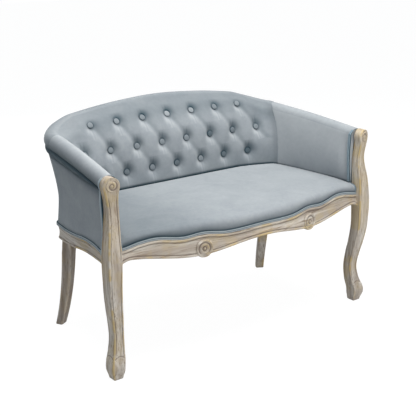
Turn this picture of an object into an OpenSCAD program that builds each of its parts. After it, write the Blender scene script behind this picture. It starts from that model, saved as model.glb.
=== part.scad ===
// Two-seat show-wood settee: carved legs and aprons, tub-shaped upholstery, tufted inside back.
// Origin at the bottom centre of the whole piece, +X to the sitter's left, +Y to the back, +Z up.

/* [Overall] */
// Width across the knees of the front legs
overall_w = 1120; // [1040:2:1400]
// Depth from the nose of the front apron to the back of the crest roll
overall_d = 662; // [640:2:700]
// Height of the crest roll at its middle
back_h = 771; // [750:1:800]

/* [Seat] */
// Height of the seat where it meets the inside arms
seat_h = 462; // [452:1:470]
// Rise of the seat's middle above its edges
seat_crown = 22; // [10:1:34]
// Height of the rail tops that carry the webbing
deck_h = 404; // [398:1:408]
// How far the seat's front bulges over its welt
seat_bulge = 7; // [2:1:10]

/* [Arms] */
// Height of the arm roll at the front post
arm_front_h = 659; // [650:1:670]
// Height of the arm roll where the back corner starts
arm_rear_h = 700; // [690:1:710]
// How much each arm closes in from the front post to the back corner
arm_toe_in = 51; // [30:1:60]
// Diameter of the arm roll at the front post
arm_roll_front_d = 54; // [48:1:58]
// Diameter of the roll at the back corner and along the back
roll_d = 60; // [54:1:64]

/* [Back] */
// Forward step from the crest's centre down to the inside back at seat height
back_lean = 154; // [140:1:165]
// Radius of the crest roll in plan at the back corners
corner_r = 115; // [100:1:125]
// Fall of the crest from its middle to where the corner starts
crest_fall = 34; // [20:1:40]
// Fall of the crest round the first half of the corner
corner_fall = 30; // [22:1:32]

/* [Tufting] */
// Distance between buttons along a row
button_pitch = 108; // [96:1:112]
// Diameter of a covered button
button_d = 19; // [16:0.5:22]
// Heights of the three button rows
low_row_h = 534; // [528:1:540]
middle_row_h = 617; // [610:1:624]
top_row_h = 705; // [700:1:708]
// Depth that a button is drawn into the stuffing
tuft_depth = 17; // [10:1:22]

/* [Legs] */
// Side of a front leg at its knee
knee_side = 49; // [44:1:52]
// Side of a front leg at its ankle
ankle_side = 37; // [34:1:40]
// Side of a rear leg under the rail
rear_leg_side = 38; // [34:1:40]
// Backward kick of a rear leg's foot
rear_kick = 56; // [40:1:60]
// Width of the carved scroll at the top of a front post
scroll_w = 48; // [44:1:52]
// Depth of that scroll from front to back
scroll_depth = 36; // [32:1:40]
// Turn of the scroll's face away from straight ahead, in degrees
scroll_turn = 14; // [0:1:20]

/* [Aprons] */
// Forward bow of the front apron at its middle
apron_bow = 76; // [50:1:84]
// Thickness of the aprons
apron_t = 26; // [24:1:30]
// Height of the front apron's lower edge, midway between crest and hollow of its wave
apron_edge_h = 377; // [370:1:382]
// Swing of that wave
apron_wave = 13.5; // [6:0.5:15]
// Diameter of a carved rosette
rosette_d = 56; // [48:1:60]
// Distance of a rosette from the centre line
rosette_x = 227; // [200:1:250]
// Height of a rosette's centre
rosette_h = 386; // [382:1:392]

/* [Covers] */
// Thickness of the outside cover with its lining
cover_t = 4; // [3:0.5:5]
// Width of a double welt
welt_w = 10; // [8:0.5:12]
// Depth of a double welt
welt_t = 5; // [4:0.5:6]
// Clearance between a soft part and what it sits against
fit = 0.3; // [0.2:0.1:0.5]

/* [Hidden] */

wood = "#b9ac97";
raw_wood = "#c9a878";
velvet = "#8d9da8";
dark_velvet = "#7d8c97";
jute = "#b59a6a";
lining = "#3c3d40";
$fn = 48;

// Centres of the front posts: the knee's corner reaches out past them, the apron's nose ahead of them
knee_reach = 30.7;
apron_front = 18;
post_x = overall_w / 2 - knee_reach;
post_y = -overall_d / 2 + apron_front + apron_bow;

// Centre line of the roll along the top of the arms and back, with round corners
rim_front_x = post_x - 4;
rim_front_y = post_y + scroll_depth / 2 + fit;
rim_rear_x = rim_front_x - arm_toe_in;
rim_y = overall_d / 2 - roll_d / 2;
corner_x = rim_rear_x - corner_r;
corner_y = rim_y - corner_r;
rim_front_z = arm_front_h - arm_roll_front_d / 2;
rim_rear_z = arm_rear_h - roll_d / 2;
rim_middle_z = back_h - roll_d / 2;
rim_corner_z = rim_middle_z - crest_fall;

// Inside faces: where the arms and back stand at seat height, and how their surfaces rise
inner_front_x = post_x - 22;
inner_rear_x = rim_rear_x - 33;
inner_rear_y = corner_y - 77;
inner_back_y = rim_y - back_lean;
inner_straight = inner_rear_x - 172;
back_rise = 69;
bend_z = rim_middle_z - 36;
pad_foot_z = seat_h - 20;
chin_drop = 10;
arm_board = 9;

// Outside faces: hem above the aprons, waist, and the seam under the roll
hem_out = 18;
waist_out = 10;
waist_z = 490;
outer_corner_r = 40;
hem_rear_x = post_x - 40;
waist_rear_x = hem_rear_x - 5;
hem_back_y = rim_y - 92;
waist_back_y = hem_back_y - 4;
rabbet_gap = 1.2;
rail_back_y = hem_back_y - cover_t - rabbet_gap;
seam_drop = 17;
flare = 1.45;
outer_front_y = post_y + 22;

// Frame members inside the shell
board_t = 18;
rail_t = 20;
rail_up = 8;
rail_down = 28;
slat_low = seat_h - 16;
slat_high = seat_h + 36;
slat_y = rim_y - back_lean + 29;
stile_side = 26;
back_stile_w = 44;
block_side = rear_leg_side;
block_x = hem_rear_x - apron_t - fit - block_side / 2;
block_y = hem_back_y - cover_t - 3 - block_side / 2;
leg_top_z = 340;

// Webbing and dust cover
web_w = 50;
web_t = 1.5;
dust_z = 390;

function lerp(a, b, t) = a + (b - a) * t;
function ramp(x, a, b) = min(1, max(0, (x - a) / (b - a)));

// Smooth curve through [x, y] knots, level beyond the first and the last
function knot_slope(k, i) = i == 0 || i == len(k) - 1 ? 0
    : (k[i + 1].y - k[i - 1].y) / (k[i + 1].x - k[i - 1].x);
function knot_at(k, x, i = 0) = i >= len(k) - 2 || x < k[i + 1].x ? i : knot_at(k, x, i + 1);
function smooth(k, x) =
    let(i = knot_at(k, x), h = k[i + 1].x - k[i].x, t = min(1, max(0, (x - k[i].x) / h)))
    (2 * t^3 - 3 * t^2 + 1) * k[i].y + (t^3 - 2 * t^2 + t) * h * knot_slope(k, i)
    + (3 * t^2 - 2 * t^3) * k[i + 1].y + (t^3 - t^2) * h * knot_slope(k, i + 1);

function steps(a, b, n) = [for (i = [0:n]) lerp(a, b, i / n)];
function flip_x(points) = [for (p = points) [-p.x, p.y, p.z]];
function backwards(list) = [for (i = [len(list) - 1:-1:0]) list[i]];

// Triangles that fill a flat ring of point indices, cut off one ear after another
function total(list) = len(list) == 1 ? list[0] : list[0] + total([for (i = [1:len(list) - 1]) list[i]]);
function ring_normal(points, left) =
    total([for (i = [0:len(left) - 1]) cross(points[left[i]], points[left[(i + 1) % len(left)]])]);
function bend(a, b, c, normal) = cross(b - a, c - b) * normal;
function is_ear(points, left, i, normal) =
    let(m = len(left), a = points[left[(i + m - 1) % m]], b = points[left[i]], c = points[left[(i + 1) % m]])
    bend(a, b, c, normal) > 0 && 0 == len([for (k = left) let(p = points[k])
        if (p != a && p != b && p != c
            && bend(a, b, p, normal) >= 0 && bend(b, c, p, normal) >= 0 && bend(c, a, p, normal) >= 0) k]);
function ear(points, left, normal, i = 0) =
    is_ear(points, left, i, normal) ? i : ear(points, left, normal, i + 1);
function fill(points, left) = len(left) == 3 ? [left] :
    let(m = len(left), i = ear(points, left, ring_normal(points, left)))
    concat([[left[(i + m - 1) % m], left[i], left[(i + 1) % m]]],
        fill(points, [for (k = [0:m - 1]) if (k != i) left[k]]));

// Closed solid through equal rings of points
module skin(rings) {
    n = len(rings[0]);
    m = len(rings);
    points = [for (r = rings) each r];
    walls = [for (i = [0:m - 2], j = [0:n - 1])
        let(a = i * n + j, b = i * n + (j + 1) % n) each [[a, b, b + n], [a, b + n, a + n]]];
    start = fill(points, [for (j = [n - 1:-1:0]) j]);
    end = fill(points, [for (j = [0:n - 1]) (m - 1) * n + j]);
    polyhedron(points = points, faces = concat(start, walls, end), convexity = 6);
}

// Closed solid between a front sheet and a back sheet of point rows; the back may have fewer rows
module padding(front, back) {
    m = len(front);
    p = len(back);
    n = len(front[0]);
    base = m * n;
    near = [for (i = [0:m - 1]) round(i * (p - 1) / (m - 1))];
    face = [for (i = [0:m - 2], j = [0:n - 2])
        let(a = i * n + j) each [[a, a + n, a + n + 1], [a, a + n + 1, a + 1]]];
    rear = [for (i = [0:p - 2], j = [0:n - 2])
        let(a = base + i * n + j) each [[a, a + 1, a + n + 1], [a, a + n + 1, a + n]]];
    foot = [for (j = [0:n - 2]) each [[j, j + 1, base + j + 1], [j, base + j + 1, base + j]]];
    head = [for (j = [0:n - 2])
        let(a = (m - 1) * n + j, b = base + (p - 1) * n + j) each [[a, b, b + 1], [a, b + 1, a + 1]]];
    ends = [for (i = [0:m - 1])
        let(a = i * n, b = base + near[i] * n) each concat(
            i < m - 1 ? [[a, b, a + n], [a + n - 1, a + 2 * n - 1, b + n - 1]] : [],
            i > 0 && near[i] > near[i - 1] ? [[a, b - n, b], [a + n - 1, b + n - 1, b - 1]] : []
        )];
    polyhedron(points = concat([for (r = front) each r], [for (r = back) each r]),
        faces = concat(face, rear, foot, head, ends), convexity = 10);
}

// A part and its mirror image share one shape
module side(s) {
    if (s > 0) children();
    else mirror([1, 0, 0]) children();
}

// Rim of the shell. u runs from the right post (0) to the corner (1 to 2) and the back's middle (3)
function rim(u) =
    u <= 1 ? [lerp(rim_front_x, rim_rear_x, u), lerp(rim_front_y, corner_y, u)]
    : u <= 2 ? [corner_x + corner_r * cos((u - 1) * 90), corner_y + corner_r * sin((u - 1) * 90)]
    : [corner_x * (3 - u), rim_y];
function rim_out(u) = u <= 1 ? [1, 0] : u <= 2 ? [cos((u - 1) * 90), sin((u - 1) * 90)] : [0, 1];
function rim_z(u) = u <= 1 ? lerp(rim_front_z, rim_rear_z, u) : smooth([
    [0, rim_front_z], [1, rim_rear_z], [1.5, rim_corner_z - corner_fall], [2, rim_corner_z],
    [3, rim_middle_z], [4, rim_corner_z]
], u);
function roll_r(u) = lerp(arm_roll_front_d, roll_d, min(1, u)) / 2;

// Inside surfaces. The back leans more and more as it rises; the corner is slack low down, round on top
function lean(z) = let(h = (z - seat_h) / (bend_z - seat_h)) 0.45 * max(0, h) + 0.55 * max(0, h)^5;
function tuck(z) = min(1, max(0, (z - seat_h) / (rim_rear_z - chin_drop - seat_h)));
function inner_end(z) = [
    inner_rear_x + (rim_rear_x - inner_rear_x - sqrt(roll_d^2 / 4 - chin_drop^2)) * tuck(z),
    lerp(inner_rear_y, corner_y, tuck(z)^4)
];
function inner_y(x, z) =
    let(end = inner_end(z), yb = inner_back_y + back_rise * lean(z), t = tuck(z)^4,
        x0 = lerp(inner_straight, corner_x, t), c = max(0, (abs(x) - x0) / (end.x - x0)))
    end.y + (yb - end.y) * lerp(1 - c, sqrt(max(0, 1 - c^2)), lerp(0.2, 1, t));

// Outside surface at height z, from the hem over the waist to the flare under the roll
function level(front_x, rear_x, back_y, r) = [front_x, rear_x, back_y - r, rear_x - r, back_y];
function seam_out(u) = sqrt(roll_r(u)^2 - seam_drop^2);
function seam_z(u) = rim_z(u) - seam_drop - fit;
function outer_level(u, z) =
    let(hem = level(post_x + hem_out, hem_rear_x, hem_back_y, outer_corner_r),
        waist = level(post_x + waist_out, waist_rear_x, waist_back_y, outer_corner_r),
        top = [rim_front_x + seam_out(0), rim_rear_x + seam_out(1), corner_y, corner_x, rim_y + seam_out(1)])
    z < waist_z ? lerp(waist, hem, ((waist_z - max(z, deck_h)) / (waist_z - deck_h))^1.5)
    : lerp(waist, top, ((z - waist_z) / (seam_z(u) - waist_z))^flare);
function on_level(u, v, inset) =
    u <= 1 ? [lerp(v[0], v[1], u) - inset, lerp(outer_front_y, v[2], u)]
    : u <= 2 ? let(a = (u - 1) * 90)
        [v[3] + (v[1] - v[3] - inset) * cos(a), v[2] + (v[4] - v[2] - inset) * sin(a)]
    : [v[3] * (3 - u), v[4] - inset];
function outer(u, z, inset = 0) = let(p = on_level(u, outer_level(u, z), inset)) [p.x, p.y, z];
function hem_z(u) = smooth([
    [0, deck_h + 5], [0.2, deck_h + 10], [0.4, deck_h + 6], [0.6, deck_h - 5], [0.8, deck_h - 13],
    [1, deck_h - 15], [2, deck_h - 14], [3, deck_h - 14]
], u);

// Front apron: bowed in plan, waved below, nearly level on top
function bow(x) = let(e = 80, w = post_x - 18) (sqrt(x^2 + e^2) - e) / (sqrt(w^2 + e^2) - e);
function apron_face(x) = post_y - apron_front - apron_bow * (1 - bow(x));
function apron_top(x) = smooth([
    [-90, 17], [0, 22], [140, 16.5], [225, 26], [300, 21], [385, 33], [440, 29], [post_x - 18, 16]
], abs(x)) + deck_h;
function apron_edge(x) =
    apron_edge_h + apron_wave * cos(abs(x) * 360 / 500) - 14 * max(0, (abs(x) - post_x + 55) / 37)^2;

// Front posts: square sections whose centre swings along the knee's diagonal
foot_tip = 34;
groove_cut = 1.8;
foot_side = 47;
waist_side = 35.5;
scroll_z = arm_front_h - scroll_w / 2;
scroll_disc_d = 35.5;
swing_knots = [
    [0, 1], [45, 4], [90, -11], [138, -18], [195, -10], [230, -2], [290, 7.5], [345, 9], [405, 8],
    [470, 4], [550, -5], [scroll_z - 15, 0]
];
width_knots = [
    [0, foot_tip], [30, foot_side - 1], [60, foot_side], [92, ankle_side + 4], [138, ankle_side],
    [214, 41], [264, 44], [313, 46], [deck_h, knee_side], [476, 42], [555, waist_side],
    [600, 40], [scroll_z, scroll_w]
];
depth_knots = [
    [0, foot_tip], [30, foot_side - 1], [60, foot_side], [92, ankle_side + 4], [138, ankle_side],
    [214, 41], [264, 44], [313, 46], [deck_h, knee_side], [476, 42], [555, waist_side],
    [scroll_z, scroll_depth]
];

// One face of a post's section, from -a to a: two grooves beside a wide flat
function post_face(w, cut) =
    let(a = w / 2, r = min(5, 0.1 * w), g = min(7, 0.22 * w), s = min(1.6, 0.08 * w))
    [[r - a, 0], [g - s - a, 0], [g - a, cut], [g + s - a, 0],
        [a - g - s, 0], [a - g, cut], [a - g + s, 0], [a - r, 0]];
function post_ring(z) =
    let(w = z > scroll_z ? 2 * sqrt(scroll_w^2 / 4 - (z - scroll_z)^2) : smooth(width_knots, z),
        a = w / 2, b = smooth(depth_knots, z) / 2, r = min(5, 0.1 * w), k = 0.3 * r,
        slant = tan(smooth([[480, 0], [scroll_z - 15, scroll_turn]], z)),
        cut = groove_cut * smooth([[60, 0], [95, 1], [585, 1], [610, 0]], z),
        s = smooth(swing_knots, z) * sqrt(0.5),
        front = function(x) b - (x + scroll_w / 2) * slant,
        ring = concat(
            [for (p = post_face(w, cut)) [p.x, front(p.x) - p.y]],
            [[a - k, front(a) - k]],
            [for (p = backwards(post_face(front(a) + b, cut))) [a - p.y, p.x + (front(a) - b) / 2]],
            [[a - k, k - b], [a - r, -b], [r - a, -b], [k - a, k - b]],
            [[-a, r - b], [-a, front(-a) - r], [k - a, front(-a) - k]]
        ))
    [for (p = backwards(ring)) [post_x + s + p.x, post_y - s - p.y, z]];
post_heights = concat(
    steps(0, scroll_z, 40),
    [for (a = [18, 36, 52, 66, 78, 86]) scroll_z + scroll_w / 2 * sin(a)]
);

// Carved disc: a boss inside raised rings, its foot sunk into the face that carries it
module ring_disc(d, rise, rings, sunk) {
    n = 4 * rings;
    wave = [for (i = [n:-1:0]) [d / 2 * i / n, rise * (0.6 + 0.4 * cos(360 * (rings + 0.5) * i / n))]];
    rotate_extrude() polygon(concat([[0, -sunk], [d / 2, -sunk]], wave));
}

module front_post() {
    skin([for (z = post_heights) post_ring(z)]);
    translate([post_x, post_y - scroll_depth / 2 + scroll_w / 2 * tan(scroll_turn), scroll_z])
        rotate([90, 0, scroll_turn]) ring_disc(scroll_disc_d, 3, 1, 2);
}

// Rear legs: sawn to kick back and outwards, carried up inside the shell as stiles
stile_x = rim_rear_x - arm_board - fit - stile_side / 2;
stile_y = hem_back_y - 28;
stile_top = rim_z(1.5) - rail_down - 3;
function kick(z) = max(0, 1 - z / leg_top_z)^1.5;
function stile_at(z) =
    z < waist_z ? lerp([block_x, block_y], [stile_x, stile_y], ramp(z, deck_h, deck_h + 30))
    : lerp([stile_x, stile_y], rim(1.5) - [4, 4], ramp(z, waist_z, stile_top)^flare);
function round_rect(a, b, r) = [for (q = [0:3], i = [0:2])
    let(t = 90 - 90 * q - 45 * i, x = q < 2 ? a - r : r - a, y = q == 0 || q == 3 ? b - r : r - b)
    [x + r * cos(t), y + r * sin(t)]];
function leg_ring(z) =
    let(k = kick(z), turn = 30 * ramp(z, leg_top_z, leg_top_z - 45),
        splay = 5 * ramp(z, leg_top_z, leg_top_z - 60) + 16 * k^2.5,
        c = z < leg_top_z ? [block_x + splay, block_y + rear_kick * k] : stile_at(z),
        above = lerp(block_side, stile_side, ramp(z, deck_h, deck_h + 30)),
        side = z < leg_top_z ? rear_leg_side - 7 * k : above,
        a = side / 2)
    [for (p = round_rect(a, a - 1.8 * k, 4))
        [c.x + p.x * cos(turn) + p.y * sin(turn), c.y - p.x * sin(turn) + p.y * cos(turn), z]];
leg_heights = concat(
    steps(0, leg_top_z, 16),
    steps(leg_top_z + 5, deck_h + 30, 5),
    steps(waist_z, stile_top, 8)
);
module rear_leg() {
    skin([for (z = leg_heights) leg_ring(z)]);
}

// Front apron: lip under the welt, bead, broad hollow and lower bead, with two carved rosettes
lip_in = 12;
function apron_ring(x) =
    let(t = apron_t, y = apron_face(x) + t, hi = apron_top(x), lo = apron_edge(x), h = hi - lo)
    [for (p = [
        [0, lo], [t - 3, lo], [t, lo + 3], [t, lo + 7], [t - 4, lo + 9], [t - 3, lo + 11],
        [t - 5, lo + 0.45 * h], [t - 7, lo + 0.72 * h], [t - 10, hi - 9], [t - 7, hi - 7], [t - 7, hi - 3],
        [t - 9, hi], [lip_in, hi], [lip_in, deck_h], [0, deck_h]
    ]) [x, y - p.x, p.y]];
module front_apron() {
    end = post_x - 19;
    turn = atan((apron_face(rosette_x + 1) - apron_face(rosette_x - 1)) / 2);
    color(wood) {
        skin([for (x = steps(-end, end, 56)) apron_ring(x)]);
        for (s = [-1, 1])
            translate([s * rosette_x, apron_face(rosette_x) + 4, rosette_h])
                rotate([90, 0, s * turn]) ring_disc(rosette_d, 5, 2, 7);
    }
}

// Side aprons follow the hem and wrap round the outside of the rear legs
function hem_level() = level(post_x + hem_out, hem_rear_x, hem_back_y, outer_corner_r);
function side_edge(u) = apron_edge_h + smooth([
    [0, -11], [0.06, -4], [0.2, -4], [0.31, -6], [0.41, -9], [0.54, -16], [0.67, -25], [0.85, -33],
    [1, -36], [2, -36]
], u);
hem_run = hem_back_y - outer_corner_r - outer_front_y;
function side_inner_x(y) = on_level((y - outer_front_y) / hem_run, hem_level(), apron_t).x;
function side_ring(u) =
    let(t = apron_t, back = t - cover_t - rabbet_gap, hi = hem_z(max(0, u)), lo = side_edge(u), h = hi - lo,
        inner = u <= 1 ? on_level(u, hem_level(), t) : [hem_rear_x - t, on_level(u, hem_level(), 0).y])
    [for (p = [
        [0, lo], [t - 2, lo], [t, lo + 4], [t - 3.5, lo + 7], [t - 1.5, lo + 9], [t - 2.5, lo + 0.6 * h],
        [t - 3, hi - 10], [t, hi - 8], [t, hi - 3], [t - 3, hi], [back, hi], [back, deck_h], [0, deck_h]
    ]) let(q = p.x == 0 ? inner : on_level(u, hem_level(), t - p.x)) [q.x, q.y, p.y]];
module side_apron() {
    us = concat([-0.008], [for (i = [1:14]) arm_stations[i]], [1.1, 1.2, 1.3, 1.4, 1.45]);
    skin([for (u = us) side_ring(u)]);
}

module rear_rail() {
    half = block_x - block_side / 2 - fit;
    color(wood) translate([-half, rail_back_y - apron_t, side_edge(1) + 8])
        cube([2 * half, apron_t, deck_h - side_edge(1) - 8]);
}

// Glued blocks that brace the four corners of the seat frame
module corner_blocks() {
    reach = 80;
    rail_y = rail_back_y - apron_t - fit;
    leg_x = block_x - block_side / 2 - fit;
    leg_y = block_y - block_side / 2 - fit;
    front_edge = [for (x = steps(post_x - 35 - reach, post_x - 35, 3)) [x, apron_face(x) + apron_t + fit]];
    behind_post = [[post_x - 27, post_y + 30], [side_inner_x(post_y + 45) - fit, post_y + 45]];
    side_end = [side_inner_x(post_y + 45 + reach) - fit, post_y + 45 + reach];
    beside_leg = [
        [side_inner_x(leg_y - reach) - fit, leg_y - reach], [side_inner_x(leg_y) - fit, leg_y], [leg_x, leg_y]
    ];
    color(raw_wood) for (s = [-1, 1]) side(s) translate([0, 0, dust_z]) linear_extrude(deck_h - dust_z) {
        polygon(concat(front_edge, behind_post, [side_end]));
        polygon(concat(beside_leg, [[leg_x, rail_y], [leg_x - reach, rail_y]]));
    }
}

// Boards along the arms, in the plane of the rim line and rising with it
arm_run = corner_y - rim_front_y;
arm_yaw = atan2(arm_toe_in, arm_run);
arm_length = arm_run / cos(arm_yaw);
arm_rise = rim_rear_z - rim_front_z;
module along_arm(low, high, inner, outer, start, end) {
    function at(s, h) = [s, rim_front_z + h + arm_rise * s / arm_length];
    translate([rim_front_x, rim_front_y, 0]) rotate([90, 0, arm_yaw + 90]) translate([0, 0, inner])
        linear_extrude(outer - inner) polygon([at(start, low), at(end, low), at(end, high), at(start, high)]);
}
module arm_rail() {
    along_arm(-45, rail_up, -board_t / 2, board_t / 2, 2.5, arm_length - 1.5);
}
module arm_slat() {
    length = (hem_back_y - outer_corner_r + 2 - rim_front_y) / cos(arm_yaw);
    translate([rim_front_x, rim_front_y, slat_low]) rotate([0, 0, arm_yaw])
        translate([-arm_board, 3, 0]) cube([12, length - 3, slat_high - slat_low]);
}

// Curved rail under the crest roll
function rail_ring(u) =
    let(c = rim(u), n = rim_out(u), z = rim_z(u))
    [for (p = [[-1, -rail_down], [1, -rail_down], [1, rail_up], [-1, rail_up]])
        [c.x + n.x * p.x * rail_t / 2, c.y + n.y * p.x * rail_t / 2, z + p.y]];
function both_sides(rings) = concat(rings, [for (i = [len(rings) - 2:-1:0]) flip_x(rings[i])]);
back_stations = concat(steps(1, 2, 8), steps(2.12, 3, 8));
module back_top_rail() {
    color(raw_wood) skin(both_sides([for (u = back_stations) rail_ring(u)]));
}
module back_slat() {
    half = stile_x - stile_side / 2 - fit;
    color(raw_wood) translate([-half, slat_y + fit, slat_low])
        cube([2 * half, board_t, slat_high - slat_low]);
}
module back_stile() {
    zs = steps(slat_high, rim_middle_z - rail_down - 2 * fit, 8);
    rear = [for (z = zs) [outer(3, z).y - cover_t - 2, z]];
    front = [for (p = backwards(rear)) p - [board_t, 0]];
    color(raw_wood) translate([-back_stile_w / 2, 0, 0]) rotate([90, 0, 90])
        linear_extrude(back_stile_w) polygon(concat(rear, front));
}

// Webbing from front to back, and across on top of it
module seat_webbing() {
    rear = rail_back_y - 10;
    color(jute) for (k = [-4:4]) {
        x = k * (block_x - 50) / 4;
        front = apron_face(abs(x) + web_w / 2) + apron_t - lip_in + 2;
        translate([x - web_w / 2, front, deck_h]) cube([web_w, rear - front, web_t]);
    }
}
module cross_webbing() {
    color(jute) for (k = [0:3]) {
        y = post_y + 75 + k * (corner_y - 60 - post_y - 75) / 3;
        half = side_inner_x(y) + 8;
        translate([-half, y - web_w / 2, deck_h + web_t]) cube([2 * half, web_w, web_t]);
    }
}
module dust_cover() {
    rear = rail_back_y - apron_t - 1;
    leg_x = block_x - block_side / 2 - 8;
    leg_y = block_y - block_side / 2 - 8;
    half = concat(
        [for (x = steps(0, post_x - 60, 12)) [x, apron_face(x) + apron_t + 1]],
        [for (y = [post_y + 60, leg_y]) [side_inner_x(y) - 1, y]],
        [[leg_x, leg_y], [leg_x, rear]]
    );
    color(lining) translate([0, 0, dust_z - 1.2]) linear_extrude(1.2)
        polygon(concat(half, [for (p = backwards(half)) [-p.x, p.y]]));
}

// Fixed seat: a crowned top that rolls over the front to the welt
seat_half = post_x - 22.5;
function seat_back_y(x) =
    abs(x) + fit < inner_rear_x ? inner_y(x, seat_h) - fit
    : lerp(inner_rear_y, outer_front_y, ramp(abs(x) + fit, inner_rear_x, inner_front_x)) - fit;
function seat_row(v) = [for (x = seat_xs)
    let(front = apron_face(x) + apron_t - lip_in + fit, back = seat_back_y(x), low = apron_top(x),
        e = 1 - abs(x / seat_half)^4, arch = 0.45 + 0.55 * (1 - (2 * v - 1)^2),
        edge = ramp(v, 1, 0.93) * ramp(abs(x), seat_half, seat_half - 22),
        top = seat_h - 9 + 9 * sqrt(edge) + seat_crown * e * arch)
    v < 0.005 ? [x, front, low + welt_w]
    : v < 0.05 ? let(a = (v - 0.005) / 0.045 * 90, rise = top - low - welt_w)
        [x, front - seat_bulge * sin(2 * a) + 22 * (1 - cos(a)), low + welt_w + rise * sin(a)]
    : [x, lerp(front + 22, back, (v - 0.05) / 0.95), top]];
seat_xs = concat(
    steps(-seat_half, 18 - seat_half, 2), steps(54 - seat_half, seat_half - 54, 26),
    steps(seat_half - 18, seat_half, 2)
);
module seat_cushion() {
    rows = concat([0, 0.014, 0.023, 0.032, 0.041, 0.05], steps(0.12, 0.93, 8), [0.965, 1]);
    foot = deck_h + 2 * web_t + fit;
    color(velvet) padding(
        [for (v = rows) seat_row(v)],
        [[for (p = seat_row(0)) [p.x, p.y, foot]], [for (x = seat_xs) [x, seat_back_y(x), foot]]]
    );
}

// Tufted inside back: buttons draw the stuffing in, and folds join them in diamonds
half_pitch = button_pitch / 2;
fold_depth = 8;
function row_at(z) = z < middle_row_h ? (z - low_row_h) / (middle_row_h - low_row_h)
    : 1 + (z - middle_row_h) / (top_row_h - middle_row_h);
function near_line(p) = abs((p + 101) % 2 - 1);
function tuft(x, z) =
    let(p = x / half_pitch, q = row_at(z), held = min(2, max(0, q)), past = max(0, -q, q - 2),
        fade = ramp(abs(x), inner_rear_x, 7 * half_pitch + 10), pull = max(0, 1 - 1.7 * past),
        a = 1 - near_line(p + held), b = 1 - near_line(p - held))
    fade * (past == 0 ? fold_depth * max(a, b)^2 + (tuft_depth - fold_depth) * (a * b)^2
        : fold_depth * a^3 * (0.35 + 0.65 * pull) + (tuft_depth - fold_depth) * (a * b * pull)^2);
function chin_u(x) = let(end = inner_end(rim_rear_z).x)
    abs(x) <= corner_x ? 3 - abs(x) / corner_x
    : 1 + acos(min(1, (abs(x) - corner_x) / (end - corner_x))) / 90;
function chin_z(u) =
    rim_z(u) + smooth([[0, -chin_drop], [1, -chin_drop], [1.5, 2], [2, 8], [3, -6], [4, 8]], u);
back_columns = [for (j = [-25:25]) j];
rail_gap = rail_t / 2 + 2 * fit;
back_rows = concat(
    [pad_foot_z],
    steps(seat_h, low_row_h, 3),
    [for (i = [1:6]) lerp(low_row_h, middle_row_h, i / 6)],
    [for (i = [1:6]) lerp(middle_row_h, top_row_h, i / 6)],
    [top_row_h + 1, top_row_h + 2]
);
function back_x(j, z) = sign(j) * (abs(j) <= 21 ? abs(j) * half_pitch / 3
    : corner_x + (inner_end(z).x - corner_x) * cos(90 * (25 - abs(j)) / 4));
function back_z(x, h) =
    let(top = chin_z(chin_u(x)) - 3 * fit, last = min(top_row_h, top - 10))
    h > top_row_h ? lerp(last, top, (h - top_row_h) / 2)
    : h > middle_row_h ? lerp(middle_row_h, last, ramp(h, middle_row_h, top_row_h)) : h;
function back_front(h) = [for (j = back_columns)
    let(z = back_z(back_x(j, rim_rear_z), h), x = back_x(j, z))
    [x, inner_y(x, z) + tuft(x, z), z]];
function back_rear(h) = [for (p = back_front(h))
    let(c = min(1, abs(p.x) / inner_end(p.z).x)^5, y = inner_y(p.x, p.z),
        face = lerp(slat_y, rim_y - rail_t / 2 - fit, ramp(p.z, slat_high + 12, rim_middle_z - 6)^1.2))
    [p.x + sign(p.x) * 12 * c, y + lerp(max(16, face - y), 12, c), p.z]];
function back_brim() = [for (p = back_front(back_rows[len(back_rows) - 1]))
    let(u = chin_u(p.x), q = rim(u) - rim_out(u) * rail_gap)
    [sign(p.x) * q.x, q.y, p.z]];
module inside_back() {
    color(velvet) padding(
        [for (h = back_rows) back_front(h)],
        concat([for (i = [0, 3, 6, 16]) back_rear(back_rows[i])], [back_brim()])
    );
}

// Covered buttons, each on a short shank at the bottom of its tuft
shank_d = 2.4;
shank_l = 7;
module button() {
    r = button_d / 2;
    rotate_extrude($fn = 24) polygon(concat(
        [[0, -shank_l], [shank_d / 2, -shank_l], [shank_d / 2, 0], [r - 1, 0]],
        [for (a = [0:15:90]) [r * cos(a), 1.2 + 0.42 * r * sin(a)]]
    ));
}
module back_buttons() {
    rows = [[low_row_h, [-3:3]], [middle_row_h, [-3.5:3.5]], [top_row_h, [-3:3]]];
    color(dark_velvet) for (row = rows, k = row[1]) {
        x = k * button_pitch;
        z = row[0];
        tip = atan(inner_y(x, z + 1) - inner_y(x, z));
        turn = atan((inner_y(x + 1, z) - inner_y(x - 1, z)) / 2);
        translate([x, inner_y(x, z) + tuft_depth - 4 * fit - shank_l * cos(tip), z + shank_l * sin(tip)])
            rotate([90 - tip, 0, turn]) button();
    }
}

// Inside arms: a padded face from the post back to the corner, mitred against the inside back
arm_bulge = 6;
function arm_face(s, h) =
    let(top_front = [rim_front_x - sqrt(arm_roll_front_d^2 / 4 - chin_drop^2), outer_front_y],
        front = lerp([inner_front_x, outer_front_y], top_front, h),
        z_front = lerp(seat_h, rim_front_z - chin_drop - fit, h),
        z_rear = lerp(seat_h, rim_rear_z - chin_drop - fit, h),
        p = lerp(front, inner_end(z_rear) - [0, 1.5 * fit], s))
    [p.x - arm_bulge * sin(180 * h) * sin(180 * s), p.y, lerp(z_front, z_rear, s)];
function arm_back(s, h) =
    let(seam = arm_face(1, h), p = arm_face(s, h), u = ramp(seam.y, rim_front_y, corner_y),
        depth = (rim(u).x - arm_board - 2 * fit - seam.x) / (1 + arm_toe_in / arm_run),
        y = lerp(outer_front_y, min(seam.y + depth, corner_y - fit), s))
    [lerp(rim_front_x, rim_rear_x, (y - rim_front_y) / arm_run) - arm_board - 2 * fit, y, p.z];
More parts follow.
